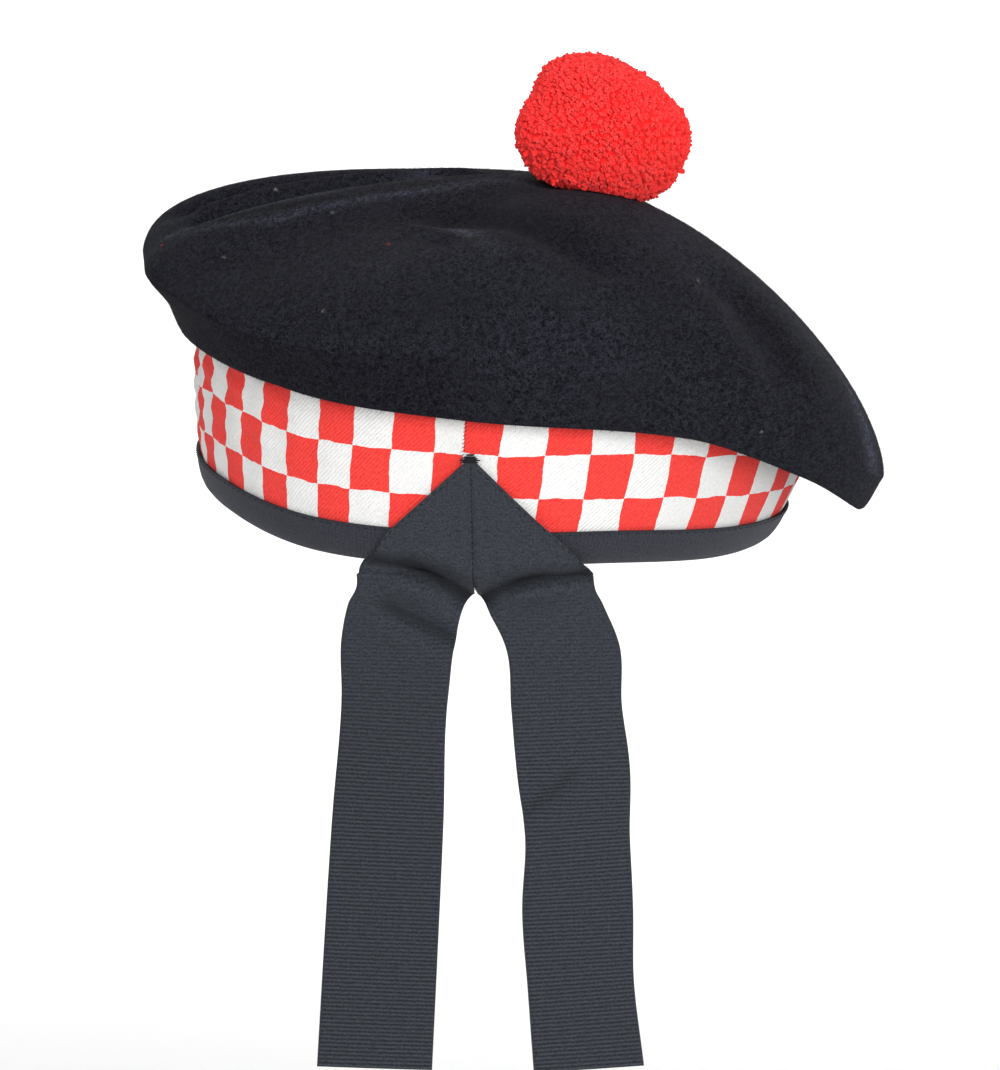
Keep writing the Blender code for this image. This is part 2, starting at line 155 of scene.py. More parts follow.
def swept_floor():
    """A sheet of card: flat under the bonnet, then curved up behind it, so no edge shows."""
    side = [(FLOOR_FRONT, 0.0), (0.0, 0.0)]
    for step in range(SWEEP_STEPS + 1):
        bend = math.pi / 2 * step / SWEEP_STEPS
        side.append((SWEEP_START + SWEEP_RADIUS * math.sin(bend), SWEEP_RADIUS * (1 - math.cos(bend))))
    side.append((SWEEP_START + SWEEP_RADIUS, WALL_TOP))
    points = [(x, y, z) for y, z in side for x in (-FLOOR_HALF_WIDTH, FLOOR_HALF_WIDTH)]
    faces = [(2 * i, 2 * i + 1, 2 * i + 3, 2 * i + 2) for i in range(len(side) - 1)]
    mesh = bpy.data.meshes.new("floor")
    mesh.from_pydata(points, [], faces)
    mesh.shade_smooth()
    return mesh


floor = into_scene("floor", swept_floor())
floor.location.z = FLOOR_HEIGHT
pale_card = bpy.data.materials.new("pale_card")
pale_card.use_nodes = True
card_shader = pale_card.node_tree.nodes["Principled BSDF"].inputs
card_shader["Base Color"].default_value = CARD_GREY
card_shader["Roughness"].default_value = 0.9
card_shader["Specular IOR Level"].default_value = 0.1
floor.data.materials.append(pale_card)
print(f"the floor starts to sweep up {SWEEP_START} m behind the bonnet")

# %% Lights
ROOM_LIGHT = 0.55


def soft_light(name, place, size, watts, target=(0, 0, 0)):
    """A square area light at this place, aimed at the bonnet or at another target."""
    data = bpy.data.lights.new(name, "AREA")
    data.energy = watts
    data.size = size
    light = into_scene(name, data)
    light.location = place
    light.rotation_euler = (Vector(target) - Vector(place)).to_track_quat("-Z", "Y").to_euler()


soft_light("key", place=(0.8, -2.2, 0.5), size=1.0, watts=39)
soft_light("fill", place=(-0.9, -2.0, 0.2), size=1.2, watts=10)
soft_light("card", place=(0.0, 0.8, 2.4), size=1.8, watts=4, target=(0, -1, 0.3))
soft_light("wall", place=(0.0, 1.6, 2.2), size=2.5, watts=70, target=(0, 3.8, 0.6))

room = bpy.data.worlds.new("room")
room.use_nodes = True
room.node_tree.nodes["Background"].inputs["Color"].default_value = (1, 1, 1, 1)
room.node_tree.nodes["Background"].inputs["Strength"].default_value = ROOM_LIGHT
bpy.context.scene.world = room
bpy.context.scene.view_settings.view_transform = "Standard"
print("a key, a fill, one light over the card, one on the wall, and a bright room")

# %% [markdown]
# ## Smooth curves through short tables
# Cloth has no exact formula, but a few measured sections and a smooth curve through them give
# its shape. Here a row stands for every 30 degrees round the bonnet, starting at the centre back
# and going round by the wearer's right. The curve closes on itself, so there is no seam.

# %% Curves
def through(a, b, c, d, t):
    """The place at share t from b to c, on a smooth curve that passes through a, b, c and d."""
    return b + 0.5 * t * (c - a + t * (2 * a - 5 * b + 4 * c - d + t * (3 * (b - c) + d - a)))


def closed_curve(values, angles):
    """The values at these angles, on a closed curve through evenly spaced values."""
    values = np.asarray(values)
    place = angles / TURN * len(values)
    first = np.floor(place).astype(int)
    near = [values[(first + step) % len(values)] for step in (-1, 0, 1, 2)]
    return through(*near, place - first)


def round_curve(rows, column, angles):
    """One column of a table at these angles, on a closed curve through its rows."""
    return closed_curve([getattr(row, column) for row in rows], angles)


def smooth_path(points, steps):
    """Points on a smooth curve through the given points, with this many steps in each span."""
    points = [2 * points[0] - points[1]] + list(points) + [2 * points[-1] - points[-2]]
    path = []
    for a, b, c, d in zip(points, points[1:], points[2:], points[3:]):
        path += [through(a, b, c, d, step / steps) for step in range(steps)]
    return path + [points[-2]]


def unit(vectors):
    """The same directions, each at length one."""
    return vectors / np.maximum(np.linalg.norm(vectors, axis=-1, keepdims=True), 1e-12)


def way_along(path):
    """How far along a path each of its points lies, starting from 0."""
    return np.concatenate(([0], np.cumsum(np.linalg.norm(np.diff(path, axis=0), axis=1))))


halfway = closed_curve((0, 1, 0, -1), np.array([TURN / 8]))[0]
print(f"halfway between rows of 0 and 1 the curve gives {halfway:.3f}")

# %% [markdown]
# ## The band's shape
# The band is a slightly flared oval. On the wearer's right the crown presses it down, so the
# strip leans out and buckles there. In the table, rise lifts the whole section by a share of the
# band's height, lean is how far it goes out for each step up, and slump is the share of its
# height that it loses. Every later piece that lies on the band asks this one function where the
# band is.

# %% Band sections
BandSection = namedtuple("BandSection", "rise lean slump")
BAND_SECTIONS = (
    BandSection(rise=-0.01, lean=0.02, slump=0.00),
    BandSection(rise=0.06, lean=0.03, slump=0.00),
    BandSection(rise=0.04, lean=0.08, slump=0.06),
    BandSection(rise=0.02, lean=0.12, slump=0.18),
    BandSection(rise=0.00, lean=0.08, slump=0.12),
    BandSection(rise=0.00, lean=0.03, slump=0.03),
    BandSection(rise=0.00, lean=0.02, slump=0.00),
    BandSection(rise=0.00, lean=0.00, slump=0.00),
    BandSection(rise=0.01, lean=0.00, slump=0.00),
    BandSection(rise=0.01, lean=0.00, slump=0.00),
    BandSection(rise=-0.02, lean=0.00, slump=0.00),
    BandSection(rise=-0.07, lean=0.00, slump=0.00),
)


def band_points(angles, height, out):
    """Points of the band: this height up its slope, this far out from the felt's inner face."""
    share = height / BAND_HEIGHT
    flare = BAND_FLARE * (1 - (1 - share) ** 2)
    lean = round_curve(BAND_SECTIONS, "lean", angles)
    slump = round_curve(BAND_SECTIONS, "slump", angles) * share
    rise = round_curve(BAND_SECTIONS, "rise", angles) * BAND_HEIGHT
    grown = out + flare + lean * height
    return np.stack((
        np.sin(angles) * (HEAD_BREADTH / 2 + grown),
        -np.cos(angles) * (HEAD_LENGTH / 2 + grown),
        height * (1 - slump) * np.sqrt(1 - lean ** 2) + rise,
    ), axis=-1)


def outward(angles):
    """The level directions straight out of the band at these angles."""
    return unit(np.stack((
        np.sin(angles) * HEAD_LENGTH, -np.cos(angles) * HEAD_BREADTH, np.zeros_like(angles),
    ), axis=-1))


back_top = band_points(np.zeros(1), BAND_HEIGHT, STRIP_OUTER)[0]
print(f"the band's top edge is {-back_top[1] * 1000:.1f} mm behind the middle at the back")

# %% [markdown]
# ## From grids of points to cloth
# Each cloth piece is a grid of points: rows up the piece and columns round it or across it. One
# helper turns a grid into faces, another makes the object, gives it a material and lets it ride
# on the model's body. Texture places count squares, ribs or millimetres along the cloth, so a
# weave has its true scale.

# %% Mesh helpers
def quads(rows, columns, start=0, round_columns=True, round_rows=False):
    """The faces of a grid of points; the last column or row can meet the first."""
    row = np.arange(rows if round_rows else rows - 1)[:, None]
    column = np.arange(columns if round_columns else columns - 1)[None, :]
    next_row = (row + 1) % rows
    next_column = (column + 1) % columns
    corners = (row * columns + column, row * columns + next_column,
               next_row * columns + next_column, next_row * columns + column)
    return start + np.stack(np.broadcast_arrays(*corners), axis=-1).reshape(-1, 4)


def repeated(pattern, count, size):
    """The faces of many like parts: one part's faces again for each, size points further on."""
    pattern = np.array(pattern)
    starts = np.arange(count)[:, None, None] * size
    return (starts + pattern[None]).reshape(-1, pattern.shape[1]).tolist()


def new_piece(name, points, faces, material, stands_for=None, smooth=True):
    """Makes an object of these points and faces and lets it ride on the model's body."""
    mesh = bpy.data.meshes.new(name)
    mesh.from_pydata(points.reshape(-1, 3).tolist(), [], [list(face) for face in faces])
    mesh.update()
    if smooth:
        mesh.shade_smooth()
    mesh.materials.append(material)
    piece = into_scene(name, mesh)
    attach(piece, "root")
    if stands_for:
        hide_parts(stands_for)
    triangles = sum(len(polygon.vertices) - 2 for polygon in mesh.polygons)
    print(f"{name}: {triangles} triangles")
    return piece


def set_places(piece, name, values):
    """Stores a texture place for each face corner, from one pair of numbers for each corner."""
    layer = piece.data.uv_layers.new(name=name)
    layer.data.foreach_set("uv", np.asarray(values, dtype=np.float32).ravel())


def set_ring_places(piece, name, u, v):
    """Stores texture places on a grid whose last row meets the first and whose columns go round."""
    spots = np.stack(np.broadcast_arrays(u, v), axis=-1)
    following = np.roll(spots, -1, axis=0)
    corners = (spots[:, :-1], spots[:, 1:], following[:, 1:], following[:, :-1])
    set_places(piece, name, np.stack(corners, axis=2))


def set_shade(piece, name, values):
    """Stores one number for each point, which a material can read by this name."""
    layer = piece.data.attributes.new(name=name, type="FLOAT", domain="POINT")
    layer.data.foreach_set("value", np.asarray(values, dtype=np.float32).ravel())


def grid_normals(points):
    """The unit normals of a grid of points whose last column meets its first."""
    steps = unit(np.diff(points, axis=0))
    along = np.concatenate((steps[:1], steps[:-1] + steps[1:], steps[-1:]))
    across = np.roll(points, -1, axis=1) - np.roll(points, 1, axis=1)
    return unit(np.cross(across, along))


print("3 rows of 4 points that close in a ring make", len(quads(3, 4)), "faces")

# %% [markdown]
# ## Finishes
# A cloth is mostly rough and dull, and its character is in small things: the felt's mottled
# fibres, the slanting ridges of the twill, the ribs of the ribbon. Every finish starts from
# Blender's Principled shader. Noise and waves change its colour a little and push its surface
# with a Bump node.

# %% Material helpers
def finish(name, roughness, specular, sheen=0.0, sheen_roughness=0.5, sheen_colour=(1, 1, 1)):
    """A new material, with its node tree and its shader."""
    material = bpy.data.materials.new(name)
    material.use_nodes = True
    tree = material.node_tree
    shader = tree.nodes["Principled BSDF"]
    shader.inputs["Roughness"].default_value = roughness
    shader.inputs["Specular IOR Level"].default_value = specular
    shader.inputs["Sheen Weight"].default_value = sheen
    shader.inputs["Sheen Roughness"].default_value = sheen_roughness
    shader.inputs["Sheen Tint"].default_value = (*sheen_colour, 1)
    return material, tree, shader


def node(tree, kind, links=(), **settings):
    """Adds a node, sets its named sockets or properties, and links sockets into it."""
    made = tree.nodes.new(kind)
    for key, value in settings.items():
        if key in made.inputs:
            made.inputs[key].default_value = value
        else:
            setattr(made, key, value)
    for socket, source in links:
        tree.links.new(source, made.inputs[socket])
    return made


def noise(tree, place, scale, detail, roughness):
    """Noise at this place, finer for a larger scale; gives its result socket."""
    made = node(tree, "ShaderNodeTexNoise", [("Vector", place)],
                Scale=scale, Detail=detail, Roughness=roughness)
    return made.outputs["Fac"]


def stored(tree, name):
    """A number that set_shade stored on the mesh under this name."""
    return node(tree, "ShaderNodeAttribute", attribute_name=name).outputs["Fac"]


def sums(tree, operation, a, b=None, c=None):
    """A Math node on sockets or numbers; gives its result socket."""
    made = tree.nodes.new("ShaderNodeMath")
    made.operation = operation
    for place, value in enumerate((a, b, c)):
        if value is None:
            continue
        if isinstance(value, (int, float)):
            made.inputs[place].default_value = value
        else:
            tree.links.new(value, made.inputs[place])
    return made.outputs[0]


def weighed(tree, first, first_share, second, second_share):
    """The sum of two sockets, each times its share."""
    return sums(tree, "MULTIPLY_ADD", first, first_share, sums(tree, "MULTIPLY", second, second_share))


def blend_colours(tree, share, first, second):
    """A colour between two others, by a share socket; gives its result socket."""
    made = tree.nodes.new("ShaderNodeMix")
    made.data_type = "RGBA"
    tree.links.new(share, made.inputs["Factor"])
    for place, value in (("A", first), ("B", second)):
        socket = [entry for entry in made.inputs if entry.name == place and entry.type == "RGBA"][0]
        if isinstance(value, tuple):
            socket.default_value = (*value, 1)
        else:
            tree.links.new(value, socket)
    return [entry for entry in made.outputs if entry.type == "RGBA"][0]


def spread(tree, source, low, high):
    """Stretches a value from low..high to 0..1 and cuts it off there."""
    made = tree.nodes.new("ShaderNodeMapRange")
    made.inputs["From Min"].default_value = low
    made.inputs["From Max"].default_value = high
    tree.links.new(source, made.inputs["Value"])
    return made.outputs["Result"]


def paint(tree, shader, colour):
    """Links a colour socket to the shader's own colour."""
    tree.links.new(colour, shader.inputs["Base Color"])


def bump(tree, shader, height, distance, under=None):
    """Pushes the shader's surface by this height socket times a distance in metres."""
    made = node(tree, "ShaderNodeBump", [("Height", height)], Strength=1.0, Distance=distance)
    if under:
        tree.links.new(under.outputs["Normal"], made.inputs["Normal"])
    tree.links.new(made.outputs["Normal"], shader.inputs["Normal"])
    return made


print("every finish starts from the Principled shader")

# %% [markdown]
# ## The felt crown
# The crown is one piece of knitted wool, milled until it felts. Seen in section it starts as a
# collar inside the band, goes over the strip's top edge, hangs a little outside it, turns out
# and up to the wide lip and closes in a flat dome under the toorie. It could be sculpted by hand
# or draped with a cloth simulation. Sections round the bonnet were chosen instead, because the
# photograph shows the outline and the folds clearly, and they can be set to match. Overhang says
# how far out the lip is and belly how far the underside hangs, both as shares of the crown's
# overhang. Lip and sag, the heights of the lip and of the underside's foot above the strip, are
# shares of the crown's rise.

# %% Crown sections
COLLAR_BOTTOM = BINDING_THICKNESS + CLEARANCE
OVER_STRIP = 0.6 * FELT_THICKNESS
PAST_STRIP = 4 * CLEARANCE
UNDERSIDE_START = 5 * CLEARANCE + 0.9 * FELT_THICKNESS
UNDERSIDE_FOOT = 5 * CLEARANCE + 2.6 * FELT_THICKNESS
FOOT_ROUNDING = 0.5 * FELT_THICKNESS
SAG_SPREAD = 0.10

CrownSection = namedtuple("CrownSection", "overhang lip sag belly fullness")
CROWN_SECTIONS = (
    CrownSection(overhang=0.62, lip=0.28, sag=-0.04, belly=0.12, fullness=2.0),
    CrownSection(overhang=0.66, lip=0.16, sag=-0.10, belly=0.16, fullness=1.9),
    CrownSection(overhang=0.80, lip=-0.12, sag=-0.19, belly=0.32, fullness=1.7),
    CrownSection(overhang=0.90, lip=-0.28, sag=-0.30, belly=0.44, fullness=1.5),
    CrownSection(overhang=0.86, lip=-0.16, sag=-0.25, belly=0.28, fullness=1.4),
    CrownSection(overhang=0.75, lip=0.04, sag=-0.14, belly=0.20, fullness=1.5),
    CrownSection(overhang=0.70, lip=0.17, sag=-0.05, belly=0.14, fullness=1.8),
    CrownSection(overhang=0.75, lip=0.27, sag=-0.03, belly=0.12, fullness=1.9),
    CrownSection(overhang=0.86, lip=0.33, sag=-0.02, belly=-0.04, fullness=1.9),
    CrownSection(overhang=0.86, lip=0.41, sag=-0.01, belly=-0.07, fullness=2.0),
    CrownSection(overhang=0.77, lip=0.32, sag=0.11, belly=-0.04, fullness=1.4),
    CrownSection(overhang=0.75, lip=0.27, sag=0.01, belly=0.02, fullness=1.5),
)
print(len(CROWN_SECTIONS), "sections, one every 30 degrees")

# %% [markdown]
# ### Rows from the collar to the top
# The outer face is worked out row by row, from the collar's foot up inside the band, over the
# strip, out along the underside to the lip, and up the dome. A belly above zero makes the
# underside hang, and one below zero lifts it and draws its foot in. Fullness sets how quickly the
# dome turns over: the larger it is, the squarer the shoulder.

# %% Crown rows
CROWN_COLUMNS = 320
COLLAR_ROWS = 9
UNDERSIDE_STEPS = 6
TOP_ROWS = 62
TURN_START = STRIP_THICKNESS + 0.8 * CLEARANCE
TURN_END = STRIP_THICKNESS / 10
CROWN_TOP = np.array((TOP_TO_RIGHT, -TOP_TO_BACK, BAND_HEIGHT + CROWN_RISE))


def crown_rows(angles):
    """The crown's outer face as rows of points, and the number of the row at the lip."""
    def shape(column):
        return round_curve(CROWN_SECTIONS, column, angles)

    corner = band_points(angles, BAND_HEIGHT, STRIP_OUTER)
    out = outward(angles)

    def off_corner(away, up):
        lift = np.zeros_like(corner)
        lift[:, 2] = up
        return corner + out * np.reshape(away, (-1, 1)) + lift

    sag = shape("sag") * CROWN_RISE
    spread_out = SAG_SPREAD * sag
    drawn_in = np.maximum(0, -shape("belly")) * CROWN_OVERHANG
    start_up = np.minimum(sag + FOOT_ROUNDING, OVER_STRIP)
    collar = [band_points(angles, height, FELT_THICKNESS)
              for height in np.linspace(COLLAR_BOTTOM, BAND_HEIGHT, COLLAR_ROWS)]
    turn = [off_corner(-TURN_START, OVER_STRIP), off_corner(-TURN_END, OVER_STRIP)]
    past_strip = off_corner(PAST_STRIP, np.maximum(0, (OVER_STRIP + start_up) / 2))
    start = off_corner(UNDERSIDE_START - spread_out, start_up)
    foot = off_corner(UNDERSIDE_FOOT - spread_out - drawn_in, np.minimum(sag, FOOT_ROUNDING))
    lip = off_corner(shape("overhang") * CROWN_OVERHANG, shape("lip") * CROWN_RISE)
    hang = np.zeros_like(lip)
    hang[:, 2] = shape("belly") * CROWN_OVERHANG
    middle = (foot + lip) / 2 - hang
    underside = smooth_path([past_strip, start, foot, middle, lip], UNDERSIDE_STEPS)
    power = (2 / shape("fullness"))[:, None]
    dome = []
    for row in range(1, TOP_ROWS):
        quarter = math.pi / 2 * row / TOP_ROWS
        level = math.cos(quarter) ** power
        rise = math.sin(quarter) ** power
        point = CROWN_TOP + (lip - CROWN_TOP) * level
        point[:, 2:] = lip[:, 2:] + (CROWN_TOP[2] - lip[:, 2:]) * rise
        dome.append(point)
    rows = collar + turn + underside + dome
    return np.array(rows), len(rows) - TOP_ROWS


print("the crown has", CROWN_COLUMNS, "points in each row")

# %% [markdown]
# ### Folds and dents
# Pulled down to one side, the felt makes long ridges and grooves from the left edge towards the
# toorie, a dent and a short ridge at the back just under it, and a dent on the right. Each one is
# a straight line seen from above. Its ends are shares of the crown's half breadth to the right
# and of its half length to the front, and its width and depth are shares of the crown's rise. A
# depth above zero pushes the surface out along its normal, and one below zero pushes it in.

# %% Folds
Fold = namedtuple("Fold", "right front to_right to_front width depth")
FOLDS = (
    Fold(right=-0.93, front=-0.40, to_right=-0.04, to_front=-0.13, width=0.26, depth=0.055),
    Fold(right=-0.80, front=-0.22, to_right=-0.10, to_front=-0.04, width=0.06, depth=-0.055),
    Fold(right=-0.80, front=-0.16, to_right=-0.15, to_front=0.00, width=0.06, depth=0.025),
    Fold(right=-0.84, front=-0.065, to_right=-0.20, to_front=0.09, width=0.14, depth=-0.120),
    Fold(right=0.60, front=-0.46, to_right=0.73, to_front=-0.52, width=0.22, depth=-0.060),
    Fold(right=-0.14, front=-0.36, to_right=0.25, to_front=-0.66, width=0.15, depth=-0.065),
    Fold(right=-0.23, front=-0.42, to_right=-0.12, to_front=-0.58, width=0.05, depth=0.030),
    Fold(right=0.05, front=-0.90, to_right=0.36, to_front=-0.86, width=0.16, depth=0.040),
)


def near_line(points, line):
    """How near each point of the crown lies to a line seen from above: 1 on it, 0 far away."""
    reach = STRIP_OUTER + BAND_FLARE + CROWN_OVERHANG
    scale = np.array((HEAD_BREADTH / 2 + reach, HEAD_LENGTH / 2 + reach))
    start = np.array((line.right, line.front)) * scale
    run = np.array((line.to_right, line.to_front)) * scale - start
    length = np.linalg.norm(run)
    run /= length
    along = (points[..., :2] - start) @ run
    past = along - np.clip(along, 0, length)
    aside = (points[..., :2] - start) @ np.array((-run[1], run[0]))
    return np.exp(-(aside ** 2 + past ** 2) / (line.width * CROWN_RISE) ** 2)


def fold_relief(points):
    """How far each point of the crown moves out along its normal for the folds and dents."""
    return sum(fold.depth * CROWN_RISE * near_line(points, fold) for fold in FOLDS)


print(len(FOLDS), "folds and dents")

# %% [markdown]
# ### Painted light and shade on the felt
# Pale lines are painted along the ridges as painted highlights, and dark places in the hollows and under
# the crown as painted shade. They could be painted by hand. Here each mark is a line like a fold's, with
# a tone above or below zero instead of a depth. One list is for felt that faces up and one, of painted
# shade only, for felt that faces down. Each point of the crown stores the number that its colour is
# multiplied by, so the marks stay on the felt in every view.

# %% Painted light and shade on the felt
PaintedLightMark = namedtuple("PaintedLightMark", "right front to_right to_front width tone")
# Tones above zero are painted highlights, tones below zero painted shade.
PAINTED_LIGHT_AND_SHADE_ABOVE = (
    PaintedLightMark(right=-0.882, front=-0.264, to_right=-0.677, to_front=-0.235, width=0.040, tone=0.80),
    PaintedLightMark(right=-0.677, front=-0.235, to_right=-0.507, to_front=-0.198, width=0.045, tone=0.75),
    PaintedLightMark(right=-0.507, front=-0.198, to_right=-0.235, to_front=-0.047, width=0.055, tone=0.60),
    PaintedLightMark(right=-0.824, front=-0.310, to_right=-0.601, to_front=-0.330, width=0.040, tone=0.55),
    PaintedLightMark(right=-0.601, front=-0.330, to_right=-0.478, to_front=-0.280, width=0.050, tone=0.75),
    PaintedLightMark(right=-0.478, front=-0.280, to_right=-0.184, to_front=-0.195, width=0.050, tone=0.80),
    PaintedLightMark(right=-0.184, front=-0.195, to_right=-0.005, to_front=-0.108, width=0.070, tone=0.60),
    PaintedLightMark(right=-0.730, front=-0.276, to_right=-0.450, to_front=-0.245, width=0.040, tone=-0.40),
    PaintedLightMark(right=-0.160, front=-0.400, to_right=-0.060, to_front=-0.584, width=0.050, tone=1.15),
    PaintedLightMark(right=-0.060, front=-0.584, to_right=0.022, to_front=-0.693, width=0.060, tone=0.45),
    PaintedLightMark(right=0.033, front=-0.702, to_right=0.207, to_front=-0.650, width=0.120, tone=0.20),
    PaintedLightMark(right=-0.106, front=-0.320, to_right=0.175, to_front=-0.580, width=0.220, tone=-0.25),
    PaintedLightMark(right=-0.279, front=-0.650, to_right=0.297, to_front=-0.864, width=0.280, tone=0.15),
    PaintedLightMark(right=0.629, front=-0.392, to_right=0.750, to_front=-0.428, width=0.130, tone=-0.35),
    PaintedLightMark(right=0.257, front=-0.223, to_right=0.486, to_front=-0.371, width=0.300, tone=0.22),
    PaintedLightMark(right=0.801, front=-0.182, to_right=0.932, to_front=-0.132, width=0.150, tone=0.50),
    PaintedLightMark(right=0.932, front=-0.132, to_right=1.000, to_front=-0.192, width=0.150, tone=0.95),
)
# Felt that faces down gets only painted shade.
PAINTED_SHADE_BELOW = (
    PaintedLightMark(right=-0.663, front=-0.686, to_right=-0.458, to_front=-0.820, width=0.220, tone=-0.30),
    PaintedLightMark(right=-0.458, front=-0.820, to_right=-0.120, to_front=-0.910, width=0.280, tone=-0.28),
    PaintedLightMark(right=-0.930, front=-0.300, to_right=-0.760, to_front=-0.560, width=0.300, tone=-0.40),
)
PAINTED_LIGHT_CONTRAST = 3.6
TURN_OVER = 2


def painted_light_and_shade_factors(points, normals):
    """How many times brighter each point of the crown's colour is painted than plain felt: painted
    highlights on ridges, painted shade in hollows and underneath.
    """
    tone = np.zeros(points.shape[:2])
    for marks, side in ((PAINTED_LIGHT_AND_SHADE_ABOVE, 1), (PAINTED_SHADE_BELOW, -1)):
        near = np.array([mark.tone * near_line(points, mark) for mark in marks])
        on_this_side = np.clip(0.5 + TURN_OVER * side * normals[..., 2], 0, 1)
        tone += (near.max(axis=0) + near.min(axis=0)) * on_this_side
    return PAINTED_LIGHT_CONTRAST ** tone


print(len(PAINTED_LIGHT_AND_SHADE_ABOVE), "marks above and", len(PAINTED_SHADE_BELOW), "below")

# %% [markdown]
# ### The felt's finish
# Milled felt is dark blue wool with paler fibres all through it. Three noises of different
# scale mix dark and pale wool: fibres, small clumps and large patches. The grain is drawn out
# from back to front, so that it also shows on the top, which we see at a low angle. A little
# sheen stands for the light that loose fibres catch.

# %% Felt finish
FELT_GRAIN = (1, 0.30, 1)
FELT_DARK = (0.0024, 0.0025, 0.0046)
FELT_PALE = (0.0248, 0.0254, 0.0350)
FELT_PATCH = (0.0145, 0.0147, 0.0202)
FELT_SHEEN = (0.60, 0.65, 0.75)

felt, tree, shader = finish("milled_felt", roughness=0.95, specular=0.05,
                            sheen=0.030, sheen_roughness=0.3, sheen_colour=FELT_SHEEN)
place = node(tree, "ShaderNodeTexCoord").outputs["Object"]
place = node(tree, "ShaderNodeMapping", [("Vector", place)], Scale=FELT_GRAIN).outputs[0]
clumps = noise(tree, place, scale=850, detail=5, roughness=0.7)
patches = noise(tree, place, scale=70, detail=4, roughness=0.6)
fibres = noise(tree, place, scale=1900, detail=3, roughness=0.75)
tone = weighed(tree, clumps, 0.45, fibres, 0.55)
colour = blend_colours(tree, spread(tree, tone, low=0.42, high=0.60), FELT_DARK, FELT_PALE)
colour = blend_colours(tree, spread(tree, patches, low=0.50, high=0.95), colour, FELT_PATCH)
# The felt's colour is multiplied by the stored painted light and shade: painted highlights along the
# ridges, painted shade in hollows and under the crown.
felt_with_painted_light = node(tree, "ShaderNodeVectorMath", [(0, colour), ("Scale", stored(tree, "painted_light_and_shade"))],
              operation="SCALE")
paint(tree, shader, felt_with_painted_light.outputs[0])
clumped = bump(tree, shader, clumps, distance=0.0005)
bump(tree, shader, fibres, distance=0.00025, under=clumped)
print("felt is mixed")

# %% [markdown]
# ### The crown in felt
# The columns stand closer together on the wearer's left, where the folds are. The collar keeps
# its plain shape. The folds fade in from a few rows before the lip and fade out under the toorie,
# which presses a shallow dimple into its seat. The inner face is the outer one moved in by the
# felt's thickness, so the felt is a real wall.

# %% Crown
CLOSER_ON_LEFT = 0.35
FOLDS_BEFORE_LIP = 8
FOLDS_FADE_ROWS = 12
DIMPLE_SHARPNESS = 3

angles = np.arange(CROWN_COLUMNS) * TURN / CROWN_COLUMNS
angles = angles - CLOSER_ON_LEFT * np.cos(angles)
outer, lip_row = crown_rows(angles)
past_collar = (np.arange(len(outer)) - lip_row + FOLDS_BEFORE_LIP) / FOLDS_FADE_ROWS
off_centre = np.hypot(outer[..., 0] - CROWN_TOP[0], outer[..., 1] - CROWN_TOP[1])
from_seat = off_centre / (TOORIE_WIDTH / 2)
dimple = SEAT_DIMPLE * np.exp(-DIMPLE_SHARPNESS * from_seat ** 2)
relief = fold_relief(outer) * np.clip(2 * from_seat - 1, 0, 1) - dimple
relief *= np.clip(past_collar, 0, 1)[:, None]
outer = outer + grid_normals(outer) * relief[..., None]
inner = outer - grid_normals(outer) * FELT_THICKNESS
crown_surface = outer @ TILT.T
skins = np.concatenate((crown_surface.reshape(-1, 3), (inner @ TILT.T).reshape(-1, 3)))

count = outer.shape[0] * outer.shape[1]
crown_faces = quads(*outer.shape[:2]).tolist()
crown_faces += quads(*outer.shape[:2], start=count)[:, ::-1].tolist()
for start in (0, count):
    last = start + count - CROWN_COLUMNS
    ring = list(range(last, last + CROWN_COLUMNS))
    crown_faces.append(ring if start == 0 else ring[::-1])
for i in range(CROWN_COLUMNS):
    j = (i + 1) % CROWN_COLUMNS
    crown_faces.append([i, count + i, count + j, j])
crown = new_piece("crown_felt", skins, crown_faces, felt, "crown")
# Each outer point stores its factor of painted light and shade; the inner face stores one, unpainted.
crown_painted_light_and_shade = painted_light_and_shade_factors(outer, grid_normals(outer)).ravel()
set_shade(crown, "painted_light_and_shade", np.concatenate((crown_painted_light_and_shade, np.ones_like(crown_painted_light_and_shade))))

# %% [markdown]
# ## The diced band
# The dice are woven in, not printed: a strip of wool twill with three rows of red and white
# squares. It is sewn round the felt and joined at the centre back, where the last white square
# and the first red one come out narrower than the others. The squares could be separate faces
# in two colours. They are worked out in the material from the strip's own measure instead, so
# their edges can be slightly uneven, as woven edges are.

# %% Dice finish
SQUARES_ROUND = 52
TWILL_LINES = 9
YARNS_IN_SQUARE = 24
WEAVE_SHADE = 0.10
RED_DARK = (0.72, 0.022, 0.019)
RED_PALE = (0.97, 0.078, 0.064)
WHITE_DARK = (0.71, 0.70, 0.685)
WHITE_PALE = (0.885, 0.88, 0.87)

dice, tree, shader = finish("diced_twill", roughness=0.9, specular=0.12, sheen=0.06)
strip_place = node(tree, "ShaderNodeUVMap", uv_map="strip").outputs["UV"]


def wandering(scale, amount, start):
    """A small sideways drift of the weave, as a vector."""
    moved = node(tree, "ShaderNodeMapping", [("Vector", strip_place)], Location=(start, 0, 0))
    wander = node(tree, "ShaderNodeTexNoise", [("Vector", moved.outputs[0])], Scale=scale, Detail=2)
    centred = node(tree, "ShaderNodeVectorMath", [(0, wander.outputs["Color"])], operation="SUBTRACT")
    centred.inputs[1].default_value = (0.5, 0.5, 0.5)
    scaled = node(tree, "ShaderNodeVectorMath", [(0, centred.outputs[0])],
                  operation="SCALE", Scale=amount)
    return scaled.outputs[0]


def whole(value):
    """The whole number below a socket's value, as a socket."""
    return sums(tree, "FLOOR", value)


